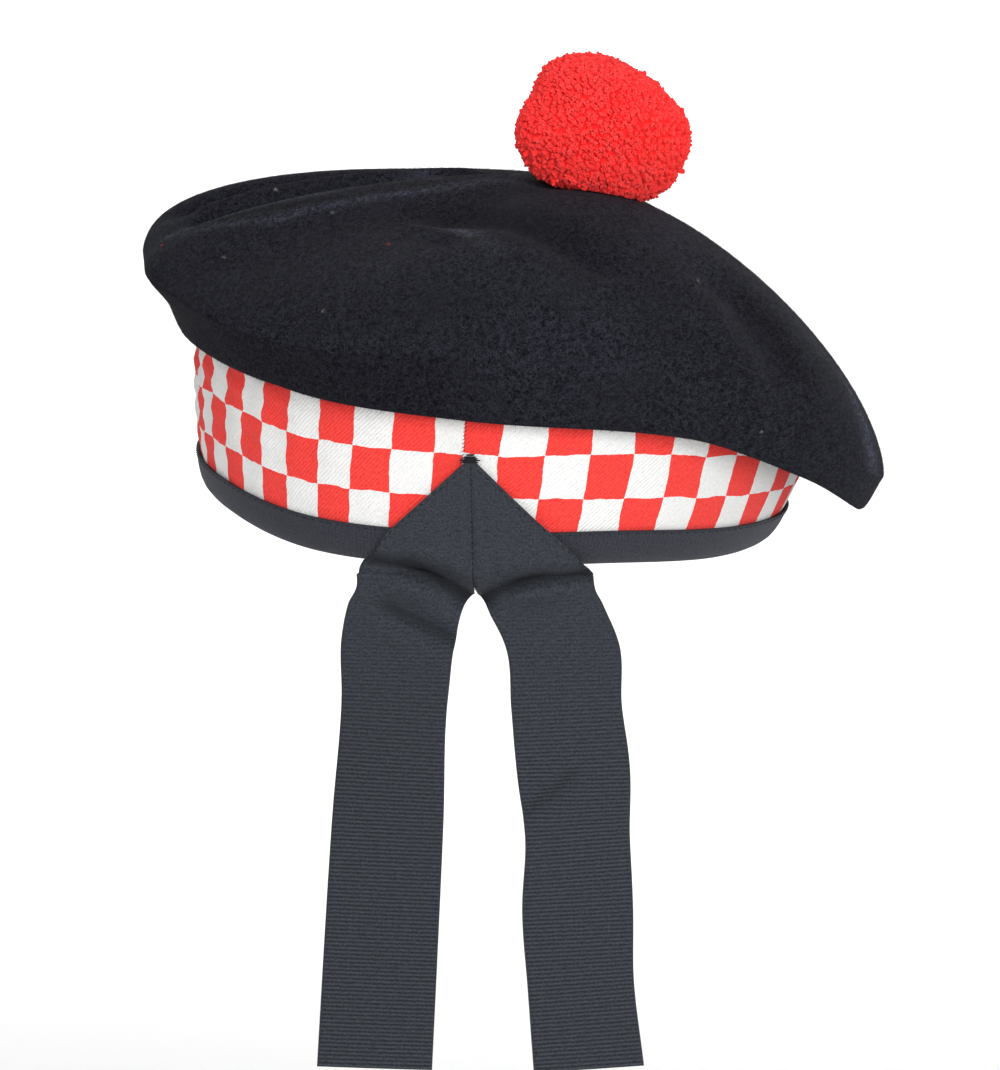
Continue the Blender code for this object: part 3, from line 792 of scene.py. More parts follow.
long_waves = wandering(scale=0.9, amount=0.22, start=3.7)
short_waves = wandering(scale=8.0, amount=0.035, start=0.0)
drift = node(tree, "ShaderNodeVectorMath", [(0, long_waves), (1, short_waves)])
moved_place = node(tree, "ShaderNodeVectorMath", [(0, strip_place), (1, drift.outputs[0])])
parts = node(tree, "ShaderNodeSeparateXYZ", [(0, moved_place.outputs[0])])
from_two = sums(tree, "ADD", parts.outputs["X"], 2.0)
odd = sums(tree, "MODULO", sums(tree, "ADD", whole(from_two), whole(parts.outputs["Y"])), 2.0)
plain = node(tree, "ShaderNodeSeparateXYZ", [(0, strip_place)])
slant = sums(tree, "SUBTRACT", plain.outputs["X"], plain.outputs["Y"])
twill = sums(tree, "SINE", sums(tree, "MULTIPLY", slant, TURN * TWILL_LINES))
yarns = sums(tree, "SINE", sums(tree, "MULTIPLY", plain.outputs["X"], TURN * YARNS_IN_SQUARE))
weave = weighed(tree, twill, 0.7, yarns, 0.3)
fuzz = noise(tree, strip_place, scale=13, detail=6, roughness=0.75)
shade = spread(tree, sums(tree, "MULTIPLY_ADD", weave, WEAVE_SHADE, fuzz), low=0.28, high=0.72)
red = blend_colours(tree, shade, RED_DARK, RED_PALE)
white = blend_colours(tree, shade, WHITE_DARK, WHITE_PALE)
paint(tree, shader, blend_colours(tree, odd, red, white))
fuzzy = bump(tree, shader, fuzz, distance=0.00035)
bump(tree, shader, weave, distance=0.00008, under=fuzzy)
print("squares round the band:", SQUARES_ROUND)

# %% [markdown]
# ### The strip round the band
# The strip is a thin closed ring in the band's own shape. Its squares are counted along it, with
# a narrow one at each side of the join. Where the strip is stretched, round the wearer's right,
# the squares come out a little wider, and on the left, where it isn't, it ripples.

# %% Diced strip
STRIP_COLUMNS = 640
STRIP_HEIGHTS = 24
JOIN_ANGLE = 0.001
FIRST_SQUARE = 0.0090
LAST_SQUARE = 0.0073
WAVE_DEPTH = 0.0006
WAVES_ROUND = 23
WAVE_SLANT = 40
SMALL_WAVES_ROUND = 41
SMALL_WAVE_SHARE = 0.6
STRETCHED_SQUARES = 1.0


def strip_ripples(angles, height):
    """The strip's small waves in and out where it isn't stretched, strongest on the left."""
    share = height / BAND_HEIGHT
    left = np.clip(-np.sin(angles), 0, 1) * np.clip(share, 0, 1)
    waves = np.sin(WAVES_ROUND * angles + WAVE_SLANT * share)
    return WAVE_DEPTH * left * (waves + SMALL_WAVE_SHARE * np.sin(SMALL_WAVES_ROUND * angles))


strip_angles = JOIN_ANGLE + np.arange(STRIP_COLUMNS) * TURN / STRIP_COLUMNS
heights = np.linspace(BAND_BOTTOM, BAND_HEIGHT, STRIP_HEIGHTS)
outside = [band_points(strip_angles, height, STRIP_OUTER + strip_ripples(strip_angles, height))
           for height in heights]
inside = [band_points(strip_angles, height, STRIP_INNER) for height in heights[::-1]]
grid = np.array(outside + inside)
strip_surface = grid @ TILT.T
strip = new_piece("diced_strip", strip_surface,
                  quads(*grid.shape[:2], round_rows=True).tolist(), dice, "diced_band")

middle = band_points(np.append(strip_angles, strip_angles[0]), BAND_HEIGHT / 2, STRIP_OUTER)
measure = way_along(middle)
round_length = measure[-1]
squares = np.interp(measure, (0, FIRST_SQUARE, round_length - LAST_SQUARE, round_length),
                    (0, 1, SQUARES_ROUND - 1, SQUARES_ROUND))
squares -= STRETCHED_SQUARES * (1 - np.cos(TURN * measure / round_length))
rows_up = (np.concatenate((heights, heights[::-1])) - BAND_BOTTOM) / DICE_SIZE
set_ring_places(strip, "strip", squares, rows_up[:, None])
usual = (round_length - FIRST_SQUARE - LAST_SQUARE) / (SQUARES_ROUND - 2)
print(f"strip {round_length * 1000:.0f} mm round, whole squares {usual * 1000:.2f} mm wide")

# %% [markdown]
# ## Ribbon
# Binding and tails are cut from the same ribbed ribbon. Its ribs run across it about a millimetre apart,
# because thick weft cords lie between fine warp threads. The ribs are real shape here, since they catch
# the light on the hanging tails. The finish adds broken, paler streaks along each rib, and paints each
# rib's crest lighter and the groove between ribs darker, as painted highlight and painted shade.

# %% Ribbon finish
WARP_PITCH = 0.35
RIBBON_SHEEN = (0.7, 0.75, 0.85)
PAINTED_CREASE_SHADE_COLOUR = (0.004, 0.0045, 0.007)
PAINTED_CREASE_SHADE_STRENGTH = 0.75
STREAK_STRETCH = (0.30, 1.7, 1)


def ribbon_finish(name, dark, pale, painted_rib_light_strength, hangs):
    """Ribbed ribbon: the texture place is millimetres across it and ribs along it."""
    material, tree, shader = finish(name, roughness=0.66, specular=0.20, sheen=0.08,
                                    sheen_roughness=0.4, sheen_colour=RIBBON_SHEEN)
    place = node(tree, "ShaderNodeUVMap", uv_map="ribbon").outputs["UV"]
    streaky = node(tree, "ShaderNodeMapping", [("Vector", place)], Scale=STREAK_STRETCH).outputs[0]
    streaks = noise(tree, streaky, scale=1.4, detail=6, roughness=0.8)
    speckle = noise(tree, place, scale=1.7, detail=5, roughness=0.75)
    parts = node(tree, "ShaderNodeSeparateXYZ", [(0, place)])
    warp = sums(tree, "SINE", sums(tree, "MULTIPLY", parts.outputs["X"], TURN / WARP_PITCH))
    # Each rib's crest is painted lighter and the groove between ribs darker: painted highlight and
    # painted shade. On the tails it shows only where they hang.
    painted_rib_light = sums(tree, "COSINE", sums(tree, "MULTIPLY", parts.outputs["Y"], TURN))
    if hangs:
        painted_rib_light = sums(tree, "MULTIPLY", painted_rib_light, stored(tree, "hang"))
    mixed = weighed(tree, speckle, 0.60, streaks, 0.40)
    light = sums(tree, "MULTIPLY_ADD", painted_rib_light, painted_rib_light_strength, mixed)
    colour = blend_colours(tree, spread(tree, light, low=0.41, high=0.61), dark, pale)
    # In the tails' creases the colour is pulled towards a near-black colour: painted shade, stronger
    # where the crease is deeper.
    if hangs:
        painted_crease_shade = sums(tree, "MULTIPLY", stored(tree, "painted_crease_shade"), PAINTED_CREASE_SHADE_STRENGTH)
        colour = blend_colours(tree, painted_crease_shade, colour, PAINTED_CREASE_SHADE_COLOUR)
    paint(tree, shader, colour)
    streaked = bump(tree, shader, streaks, distance=0.00015)
    speckled = bump(tree, shader, speckle, distance=0.00025, under=streaked)
    bump(tree, shader, warp, distance=0.00003, under=speckled)
    return material


tail_ribbon = ribbon_finish("tail_ribbon", dark=(0.0100, 0.0120, 0.0170),
                            pale=(0.0455, 0.0515, 0.0630), painted_rib_light_strength=0.085, hangs=True)
binding_ribbon = ribbon_finish("binding_ribbon", dark=(0.0115, 0.0122, 0.0180),
                               pale=(0.0440, 0.0455, 0.0600), painted_rib_light_strength=0.02, hangs=False)
print("two ribbon finishes")

# %% [markdown]
# ## The binding
# The binding is folded lengthways over the lower edges of felt and strip, so its section is a
# U, rounded where the ribbon turns. Its ribs stand upright. It follows the same band as the
# strip, a ribbon's thickness further out.

# %% Binding
BINDING_COLUMNS = 1800
RIB_PITCH = 0.00105
RIB_HEIGHT = 0.00003
BINDING_INSIDE = 0.9 * BINDING_HEIGHT
CORNER_HEIGHT = 0.2 * BINDING_HEIGHT
CORNER_SET_IN = 0.4 * STRIP_THICKNESS
OUTSIDE_STEPS = 2


def binding_profile():
    """The ribbon's outside and its lining in section, each as pairs of out and height."""
    inside = -CLEARANCE - BINDING_THICKNESS
    fold = CLEARANCE + BINDING_THICKNESS
    outside = [np.array(pair) for pair in (
        (BINDING_OUTER, BINDING_HEIGHT),
        (BINDING_OUTER, BINDING_HEIGHT * 0.75),
        (BINDING_OUTER, BINDING_HEIGHT / 2),
        (BINDING_OUTER - CORNER_SET_IN, CORNER_HEIGHT),
        (FELT_THICKNESS + CLEARANCE, 0),
        (0, 0),
        (inside, CORNER_HEIGHT),
        (inside, BINDING_INSIDE),
    )]
    lining = [np.array(pair) for pair in (
        (-CLEARANCE, BINDING_INSIDE),
        (-CLEARANCE, BINDING_THICKNESS),
        (FELT_THICKNESS + CLEARANCE, BINDING_THICKNESS),
        (BINDING_INNER - CORNER_SET_IN, fold + CORNER_HEIGHT / 2),
        (BINDING_INNER, BINDING_HEIGHT / 2),
        (BINDING_INNER, BINDING_HEIGHT),
    )]
    return smooth_path(outside, OUTSIDE_STEPS), lining


binding_angles = np.arange(BINDING_COLUMNS) * TURN / BINDING_COLUMNS
ribbed, lining = binding_profile()
profile = ribbed + lining
lower = band_points(np.append(binding_angles, binding_angles[0]), 0, BINDING_OUTER)
measure = way_along(lower)
ribs = round(measure[-1] / RIB_PITCH)
along = measure / measure[-1] * ribs
rib_lift = RIB_HEIGHT * np.cos(TURN * along[:-1])
grid = []
for place, (out, height) in enumerate(profile):
    lift = rib_lift * (place < len(ribbed)) * (1 if out > 0 else -1)
    grid.append(band_points(binding_angles, height, out + lift))
grid = np.array(grid)
binding_surface = grid @ TILT.T
binding = new_piece("edge_ribbon", binding_surface,
                    quads(*grid.shape[:2], round_rows=True).tolist(), binding_ribbon,
                    "edge_binding")
set_ring_places(binding, "ribbon", way_along(profile)[:, None] * 1000, along)
print(f"binding {measure[-1] * 1000:.0f} mm round, {ribs} ribs")

# %% [markdown]
# ## The tails
# Each tail is a length of the ribbon with its top cut on a slant. The two slants make a peak at
# the centre back, sewn down over binding and strip. Below the lower edge the tails hang free and
# turn a little as they fall. The top is laid on the band by looking straight at it from behind,
# point by point. The rest follows a short table. Drop is the share of the hanging length, out
# and back are shares of the ribbon's width, and turn is in degrees.

# %% Tail sections
LEFT_MITRE = 0.90
RIGHT_MITRE = 1.02

TailSection = namedtuple("TailSection", "drop out back turn")
LEFT_TAIL = (
    TailSection(drop=0.00, out=0.00, back=0.00, turn=6),
    TailSection(drop=0.05, out=0.08, back=-0.03, turn=6),
    TailSection(drop=0.12, out=0.15, back=-0.05, turn=10),
    TailSection(drop=0.24, out=0.18, back=-0.02, turn=21),
    TailSection(drop=0.50, out=0.24, back=0.03, turn=14),
    TailSection(drop=1.00, out=0.36, back=0.00, turn=6),
)
RIGHT_TAIL = (
    TailSection(drop=0.00, out=0.00, back=0.00, turn=12),
    TailSection(drop=0.04, out=0.06, back=-0.03, turn=12),
    TailSection(drop=0.14, out=0.24, back=-0.04, turn=20),
    TailSection(drop=0.26, out=0.275, back=0.01, turn=25),
    TailSection(drop=0.38, out=0.33, back=-0.01, turn=20),
    TailSection(drop=0.52, out=0.365, back=-0.03, turn=32),
    TailSection(drop=0.68, out=0.37, back=-0.02, turn=24),
    TailSection(drop=0.82, out=0.395, back=0.00, turn=30),
    TailSection(drop=1.00, out=0.47, back=0.02, turn=25),
)


def between(rows, column, drop):
    """The column's values at these drops, on a smooth curve through the rows."""
    values = np.array([getattr(row, column) for row in rows])
    drops = np.array([row.drop for row in rows])
    slopes = np.gradient(values, drops)
    first = np.clip(np.searchsorted(drops, drop, side="right") - 1, 0, len(rows) - 2)
    span = drops[first + 1] - drops[first]
    t = (drop - drops[first]) / span
    rise = values[first + 1] - values[first]
    start, end = slopes[first] * span, slopes[first + 1] * span
    bend = 3 * rise - 2 * start - end
    return values[first] + t * start + t ** 2 * bend + t ** 3 * (start + end - 2 * rise)


print(len(LEFT_TAIL), "sections for the left tail and", len(RIGHT_TAIL), "for the right")

# %% [markdown]
# ### Where the tails touch the band
# To lay the ribbon on strip and binding we must know how far back they come at any place. A ray
# sent forward from behind the bonnet finds it, and a BVH tree makes thousands of rays quick. The
# tip of the peak, the lower edge and the hem, where the ribbon leaves the band, come from it.

# %% Band under the tails
TAIL_GAP = 1.5 * CLEARANCE
EDGE_REACH = 0.35 * BINDING_HEIGHT
HEM_GAP = 4 * CLEARANCE
RAY_START = -1.0
FORWARD = Vector((0, 1, 0))


def tree_of(*surfaces):
    """A search tree of grids of points that close on themselves both ways."""
    points, faces = [], []
    for surface in surfaces:
        faces += quads(*surface.shape[:2], start=len(points), round_rows=True).tolist()
        points += surface.reshape(-1, 3).tolist()
    return BVHTree.FromPolygons(points, faces)


def back_of(surface, x, z, reach):
    """How far back the surface comes at x, within reach above and below z or else just above."""
    def hit(height):
        return surface.ray_cast(Vector((x, RAY_START, height)), FORWARD)[0]

    found = [place for place in (hit(z - reach), hit(z), hit(z + reach)) if place]
    while not found:
        z += reach / 2
        found = [place for place in (hit(z + reach),) if place]
    return min(place.y for place in found)


band_surface = tree_of(strip_surface, binding_surface)
tip = Vector(TILT @ band_points(np.zeros(1), PEAK_HEIGHT, BINDING_OUTER)[0])
tip.x += PEAK_TO_RIGHT
lower_edge = (TILT @ band_points(np.zeros(1), 0, 0)[0])[2]
hem = min(tip.z - RIBBON_WIDTH * max(LEFT_MITRE, RIGHT_MITRE), lower_edge) - HEM_GAP
print(f"peak tip at x {tip.x * 1000:.1f}, z {tip.z * 1000:.1f} mm, hem at z {hem * 1000:.1f} mm")

# %% [markdown]
# ### Creases
# Where the ribbon is held flat above and hangs free below, it buckles into short creases. Each
# one is a line seen from behind, x and z in metres: a groove this wide and deep, with a soft
# roll of the given height just below it and a smaller one above.

# %% Creases
Crease = namedtuple("Crease", "x z to_x to_z width depth roll")
CREASES = (
    Crease(x=-0.0215, z=-0.0070, to_x=-0.0085, to_z=-0.0098, width=0.0020, depth=0.0028, roll=0.0016),
    Crease(x=-0.0085, z=-0.0098, to_x=0.0045, to_z=-0.0168, width=0.0027, depth=0.0042, roll=0.0018),
    Crease(x=-0.0060, z=-0.0072, to_x=0.0042, to_z=-0.0125, width=0.0009, depth=0.0009, roll=0.0005),
    Crease(x=-0.0160, z=-0.0204, to_x=-0.0006, to_z=-0.0277, width=0.0024, depth=0.0020, roll=0.0010),
    Crease(x=0.0335, z=-0.0103, to_x=0.0177, to_z=-0.0122, width=0.0017, depth=0.0030, roll=0.0016),
    Crease(x=0.0177, z=-0.0122, to_x=0.0055, to_z=-0.0162, width=0.0024, depth=0.0036, roll=0.0014),
    Crease(x=0.0190, z=-0.0704, to_x=0.0269, to_z=-0.0642, width=0.0022, depth=0.0010, roll=0.0005),
)
ROLL_BELOW = 2.1
ROLL_WIDTH = 1.5
BROW_ABOVE = 1.6
BROW_WIDTH = 1.4
BROW_HEIGHT = 0.4


def bell(distance, width):
    """One at no distance, and soon less as the distance passes the width."""
    return np.exp(-(distance / width) ** 2)


def crease_depths(x, z):
    """How far each point of the ribbon moves in for the creases; the rolls move it out."""
    total = np.zeros_like(x)
    for crease in CREASES:
        run = np.array((crease.to_x - crease.x, crease.to_z - crease.z))
        length = np.linalg.norm(run)
        run /= length
        along = (x - crease.x) * run[0] + (z - crease.z) * run[1]
        past = along - np.clip(along, 0, length)
        below = ((x - crease.x) * run[1] - (z - crease.z) * run[0]) * np.sign(run[0]) / crease.width
        groove = crease.depth * bell(below, 1)
        roll = crease.roll * bell(below - ROLL_BELOW, ROLL_WIDTH)
        brow = crease.roll * BROW_HEIGHT * bell(below + BROW_ABOVE, BROW_WIDTH)
        total += bell(past, 2 * crease.width) * (groove - roll - brow)
    return total


print(len(CREASES), "creases")

# %% [markdown]
# ### Laying and hanging a tail
# The mitred part is laid on the band row by row, and evened so that the ribbon bridges small
# steps, as stiff ribbon does. Below the hem the rows follow the table: the ribbon's middle moves
# out and back, and its width turns about the upright. From the hem down to where the tails part,
# the rows go over smoothly from lying to hanging. The left tail is gathered in a little where
# its outer edge leaves the band.

# %% Tail grids
TAIL_COLUMNS = 24
MITRE_ROWS = 64
ROWS_PER_RIB = 4
EVENING_ROUNDS = 24
SOFTENING_ROUNDS = 3
CUP_FADE = 5
CUP_LEFT = 0.15
MEET_UNTIL = -0.0192
SEAM_OVERLAP = 0.00006
PINCH = 0.0026
PINCH_HEIGHT = -0.0050
PINCH_SPREAD = 0.0035
FREE_BELOW = -0.0140
TAIL_SHARES = np.arange(TAIL_COLUMNS + 1) / TAIL_COLUMNS


def smoothed(values, rounds):
    """Averages each value of a grid with its neighbours, this many times."""
    for _ in range(rounds):
        padded = np.pad(values, 1, mode="edge")
        values = (padded[1:-1, 1:-1] * 2 + padded[:-2, 1:-1] + padded[2:, 1:-1]
                  + padded[1:-1, :-2] + padded[1:-1, 2:]) / 6
    return values


def pinch(side, z):
    """How far the left tail's outer edge is gathered in where it leaves the band."""
    if side > 0:
        return np.zeros_like(z)
    return PINCH * TAIL_SHARES ** 2 * bell(z - PINCH_HEIGHT, PINCH_SPREAD)


def room_behind(x, z):
    """How far in the ribbon can go before it meets the band; far in, where it hangs free."""
    room = np.full(x.shape, -RAY_START)
    for place in zip(*np.nonzero(z > FREE_BELOW)):
        for step in (-1, 0, 1):
            start = Vector((x[place], RAY_START, z[place] + step * RIBBON_THICKNESS / 2))
            hit = band_surface.ray_cast(start, FORWARD, -RAY_START)[0]
            if hit is not None:
                room[place] = min(room[place], hit.y - TAIL_GAP / 2)
    return room


def mitre_grid(side, mitre):
    """The part of a tail that lies on the band: slanting rows at the top, level at the hem."""
    start = tip.z - TAIL_SHARES * RIBBON_WIDTH * mitre
    z = start + (hem - start) * (np.arange(MITRE_ROWS + 1) / MITRE_ROWS)[:, None]
    inner_edge = tip.x - side * SEAM_OVERLAP
    x = np.broadcast_to(inner_edge + side * TAIL_SHARES * RIBBON_WIDTH, z.shape)
    touch = np.array([[back_of(band_surface, float(a), float(b), EDGE_REACH) for a, b in zip(*row)]
                      for row in zip(x, z)])
    lying = np.minimum(smoothed(touch, EVENING_ROUNDS), touch) - TAIL_GAP
    return np.stack((x, smoothed(lying, SOFTENING_ROUNDS), z), axis=-1)


def tail_grid(side, mitre, rows):
    """The side of a tail that faces the band, as rows of points from the slanting top down."""
    top = mitre_grid(side, mitre)
    last = top[-1]
    centre = (last[0] + last[-1]) / 2
    bow = last[TAIL_COLUMNS // 2][1] - centre[1]
    hanging = RIBBON_LENGTH - (tip.z - hem)
    count = round(hanging / RIB_PITCH * ROWS_PER_RIB)
    drop = (np.arange(1, count + 1) / count)[:, None]
    turn = np.radians(between(rows, "turn", drop))
    out = between(rows, "out", drop)
    back = between(rows, "back", drop)
    across = (TAIL_SHARES - 0.5)[None, :]
    cup = bow * np.maximum(CUP_LEFT, 1 - CUP_FADE * drop) * (1 - 4 * across ** 2)
    straight = tip.x - side * SEAM_OVERLAP + side * RIBBON_WIDTH / 2
    x = straight + side * RIBBON_WIDTH * (out + np.cos(turn) * across)
    y = centre[1] + RIBBON_WIDTH * (np.sin(turn) * across - back) + cup
    z = np.broadcast_to(centre[2] - drop * hanging, x.shape)
    easing = np.clip((hem - z) / (hem - MEET_UNTIL), 0, 1)
    easing = easing ** 2 * (3 - 2 * easing)
    x = last[None, :, 0] * (1 - easing) + x * easing
    y = last[None, :, 1] * (1 - easing) + y * easing
    tail = np.concatenate((top, np.stack((x, y, z), axis=-1)))
    tail[..., 0] += pinch(side, tail[..., 2])
    return tail


print(f"the tails part at z {MEET_UNTIL * 1000:.1f} mm")

# %% [markdown]
# ### The tails in ribbon
# The creases push the ribbon in, but never into the band. Its outer face stands off by the ribbon's
# thickness, with a rib every millimetre where it hangs free. On the band the ribbon is pressed flat, and
# the ribs fade out there. Two stored numbers tell the finish where the ribbon hangs, where painted
# highlights go on the rib crests, and how deep a crease is, where painted shade darkens it.

# %% Tails
NORMAL_ROUNDS = 12
TAIL_RIB_HEIGHT = 0.00009
RIB_AT_EDGE = 0.2
RIBS_START_OVER = 0.02
HANG_OVER = 0.05
FULL_PAINTED_SHADE_DEPTH = 0.003


def open_normals(points):
    """The unit normals of an open grid of points."""
    return unit(np.cross(np.gradient(points, axis=1), np.gradient(points, axis=0)))


def tail_faces(shape, side):
    """The faces of a thin closed piece: the near grid's, the far grid's and the rim between."""
    count = shape[0] * shape[1]
    faces = quads(*shape, round_columns=False).tolist()
    faces += quads(*shape, start=count, round_columns=False)[:, ::-1].tolist()
    index = np.arange(count).reshape(shape)
    rim = np.concatenate((index[0, :-1], index[:-1, -1], index[-1, :0:-1], index[:0:-1, 0]))
    for a, b in zip(rim, np.roll(rim, -1)):
        faces.append([int(b), int(a), int(a) + count, int(b) + count])
    return [face[::-1] for face in faces] if side > 0 else faces


def ribbon_tail(name, side, mitre, rows, node_name):
    """Makes one tail with its ribs; gives the points of its outer face."""
    near = tail_grid(side, mitre, rows)
    depths = crease_depths(near[..., 0], near[..., 2])
    near[..., 1] = np.minimum(near[..., 1] + depths, room_behind(near[..., 0], near[..., 2]))
    normals = open_normals(near)
    normals *= -np.sign(normals[..., 1:2].mean())
    normals = unit(np.stack([smoothed(normals[..., axis], NORMAL_ROUNDS) for axis in range(3)], axis=-1))
    drop = tip.z - near[..., 2]
    below_hem = hem - near[..., 2]
    free = np.clip(below_hem / RIBS_START_OVER, 0, 1)
    from_edge = np.minimum(np.arange(TAIL_COLUMNS + 1), np.arange(TAIL_COLUMNS + 1)[::-1])
    ribs = TAIL_RIB_HEIGHT * np.cos(TURN * drop / RIB_PITCH) * free * np.clip(from_edge, RIB_AT_EDGE, 1)
    far = near + normals * (RIBBON_THICKNESS + ribs)[..., None]
    near = near - normals * ((ribs - TAIL_RIB_HEIGHT) * free)[..., None]
    points = np.concatenate((near.reshape(-1, 3), far.reshape(-1, 3)))
    shape = near.shape[:2]
    piece = new_piece(name, points, tail_faces(shape, side), tail_ribbon, node_name)

    across = np.broadcast_to(TAIL_SHARES * RIBBON_WIDTH * 1000, shape)
    places = np.stack((across, drop / RIB_PITCH), axis=-1).reshape(-1, 2)
    loops = np.empty(len(piece.data.loops), dtype=np.int32)
    piece.data.loops.foreach_get("vertex_index", loops)
    set_places(piece, "ribbon", np.concatenate((places, places))[loops])
    set_shade(piece, "hang", np.tile(np.clip(below_hem / HANG_OVER, 0, 1).ravel(), 2))
    # Painted shade in the creases, full where a crease is this deep.
    set_shade(piece, "painted_crease_shade", np.tile(np.clip(depths / FULL_PAINTED_SHADE_DEPTH, 0, 1).ravel(), 2))
    return far


left_far = ribbon_tail("tail_left", -1, LEFT_MITRE, LEFT_TAIL, "ribbon_tail_left")
right_far = ribbon_tail("tail_right", 1, RIGHT_MITRE, RIGHT_TAIL, "ribbon_tail_right")

# %% [markdown]
# ## The toorie
# A toorie is a bundle of wool yarn tied tight in the middle and clipped to a ball. What shows is
# thousands of cut ends, each a little frayed. A hair system could do it, but short solid ends
# are closer to the real yarn and export as plain mesh. They are spread evenly by turning each
# next one by the golden angle, and their lengths wander a little, as scissors leave them.

# %% Toorie finish
TOORIE_PAINTED_ROOT_SHADE = (0.92, 0.020, 0.020)
TOORIE_RED = (0.96, 0.032, 0.031)
TOORIE_BRIGHT = (1.00, 0.062, 0.060)
TOORIE_SHEEN = (1, 0.45, 0.40)

toorie_yarn, tree, shader = finish("toorie_yarn", roughness=0.9, specular=0.10,
                                   sheen=0.25, sheen_colour=TOORIE_SHEEN)
place = node(tree, "ShaderNodeTexCoord").outputs["Object"]
fibre = noise(tree, place, scale=2400, detail=3, roughness=0.7)
dyed = blend_colours(tree, stored(tree, "dye"), TOORIE_RED, TOORIE_BRIGHT)
# The stored tip share goes from the painted shade colour at a ply's root to the dyed red at its tip:
# painted shade deep in the ball.
paint(tree, shader, blend_colours(tree, stored(tree, "tip"), TOORIE_PAINTED_ROOT_SHADE, dyed))
bump(tree, shader, fibre, distance=0.0002)
print("toorie yarn is dyed")

# %% [markdown]
# ### The clipped outline
# Scissors leave the ball wider than high, with locks that stand out a little. One number every
# 30 degrees says how far the yarn reaches as a share of half the toorie's width, seen from
# behind, from the top round by the wearer's right. A few random waves add the small lumps.

# %% Toorie outline
CLIPPED_REACH = (0.80, 0.755, 0.815, 1.0, 0.99, 0.93, 0.79, 0.765, 0.875, 0.925, 0.83, 0.88)
SIDE_REACH = 0.93
LUMP_SEED = 5
LUMP_HEIGHT = 0.014
LUMP_WAVES = 12
LUMP_SHARPNESS = 7.0


def lumps(directions):
    """A smooth uneven value, mostly from -1 to 1, over the directions of a ball."""
    draw = np.random.default_rng(LUMP_SEED)
    waves = draw.normal(size=(LUMP_WAVES, 3)) * LUMP_SHARPNESS
    phases = draw.uniform(0, TURN, LUMP_WAVES)
    return np.sin(directions @ waves.T + phases).sum(axis=1) / math.sqrt(LUMP_WAVES)


def clipped_reach(directions):
    """How far the yarn reaches in each direction; the table is its outline from behind."""
    round_view = np.arctan2(directions[:, 0], directions[:, 2]) % TURN
    in_view = directions[:, 0] ** 2 + directions[:, 2] ** 2
    reach = closed_curve(CLIPPED_REACH, round_view) * in_view + SIDE_REACH * (1 - in_view)
    return TOORIE_WIDTH / 2 * (reach + LUMP_HEIGHT * lumps(directions))


up_and_right = np.array(((0.0, 0.0, 1.0), (1.0, 0.0, 0.0)))
reach_up, reach_right = clipped_reach(up_and_right) * 1000
print(f"the toorie reaches {reach_up:.1f} mm up and {reach_right:.1f} mm to the right")

# %% [markdown]
# ### Yarn ends
# Every yarn has four plies round its tip, and every ply is a thin three-sided rod, with painted shade
# making it darker towards its root. The plies splay a little, and a few yarns stray past the rest. Ends
# that would lie inside the crown are lifted on to the felt, because the toorie is pressed flat there.

# %% Felt under the toorie
ABOVE_FELT = 0.0005
LOOK_DOWN_FROM = 0.04
DOWNWARD = Vector((0, 0, -1))
ASLANT = (0.31, 0.52, 0.79)
GOLDEN = math.pi * (3 - math.sqrt(5))

middle = BAND_HEIGHT + CROWN_RISE - SEAT_DIMPLE + TOORIE_HEIGHT / 2 - TOORIE_SINK
toorie_centre = TILT @ np.array((TOP_TO_RIGHT, -TOP_TO_BACK, middle))
felt_points = crown_surface[lip_row:].reshape(-1, 3)
felt_faces = quads(*crown_surface[lip_row:].shape[:2]).tolist()
felt_faces.append(list(range(len(felt_points) - CROWN_COLUMNS, len(felt_points))))
felt_tree = BVHTree.FromPolygons(felt_points.tolist(), felt_faces)


def above_felt(points):
    """Lifts points that would be inside the crown to just above it."""
    lifted = points.copy()
    for place, (x, y, z) in enumerate(points):
        under = felt_tree.ray_cast(Vector((x, y, z + LOOK_DOWN_FROM)), DOWNWARD)[0]
        if under is not None and z < under.z + ABOVE_FELT:
            lifted[place, 2] = under.z + ABOVE_FELT
    return lifted


def even_directions(count):
    """Directions spread evenly over a ball, each a golden angle on from the last."""
    number = np.arange(count)
    height = 1 - 2 * (number + 0.5) / count
    flat = np.sqrt(1 - height ** 2)
    return np.stack((flat * np.cos(number * GOLDEN), flat * np.sin(number * GOLDEN), height), axis=1)


def side_ways(ways):
    """Two directions square to each way and to each other."""
    side = unit(np.cross(ways, ASLANT))
    return side, np.cross(ways, side)


print(f"the toorie's middle is {toorie_centre[2] * 1000:.1f} mm up")

# %% Yarn ends
YARNS = 3000
PLIES = 4
PLY_SPREAD = 0.00050
PLY_SPLAY = 0.14
TIP_WANDER = 0.016
WAY_WANDER = 0.10
LENGTH_WANDER = 0.00028
DYE_WANDER = 0.2
STRAY_SHARE = 0.015
STRAY_LENGTH = 0.0009
SPREAD_RANGE = (0.6, 1.2)
random = np.random.default_rng(7)

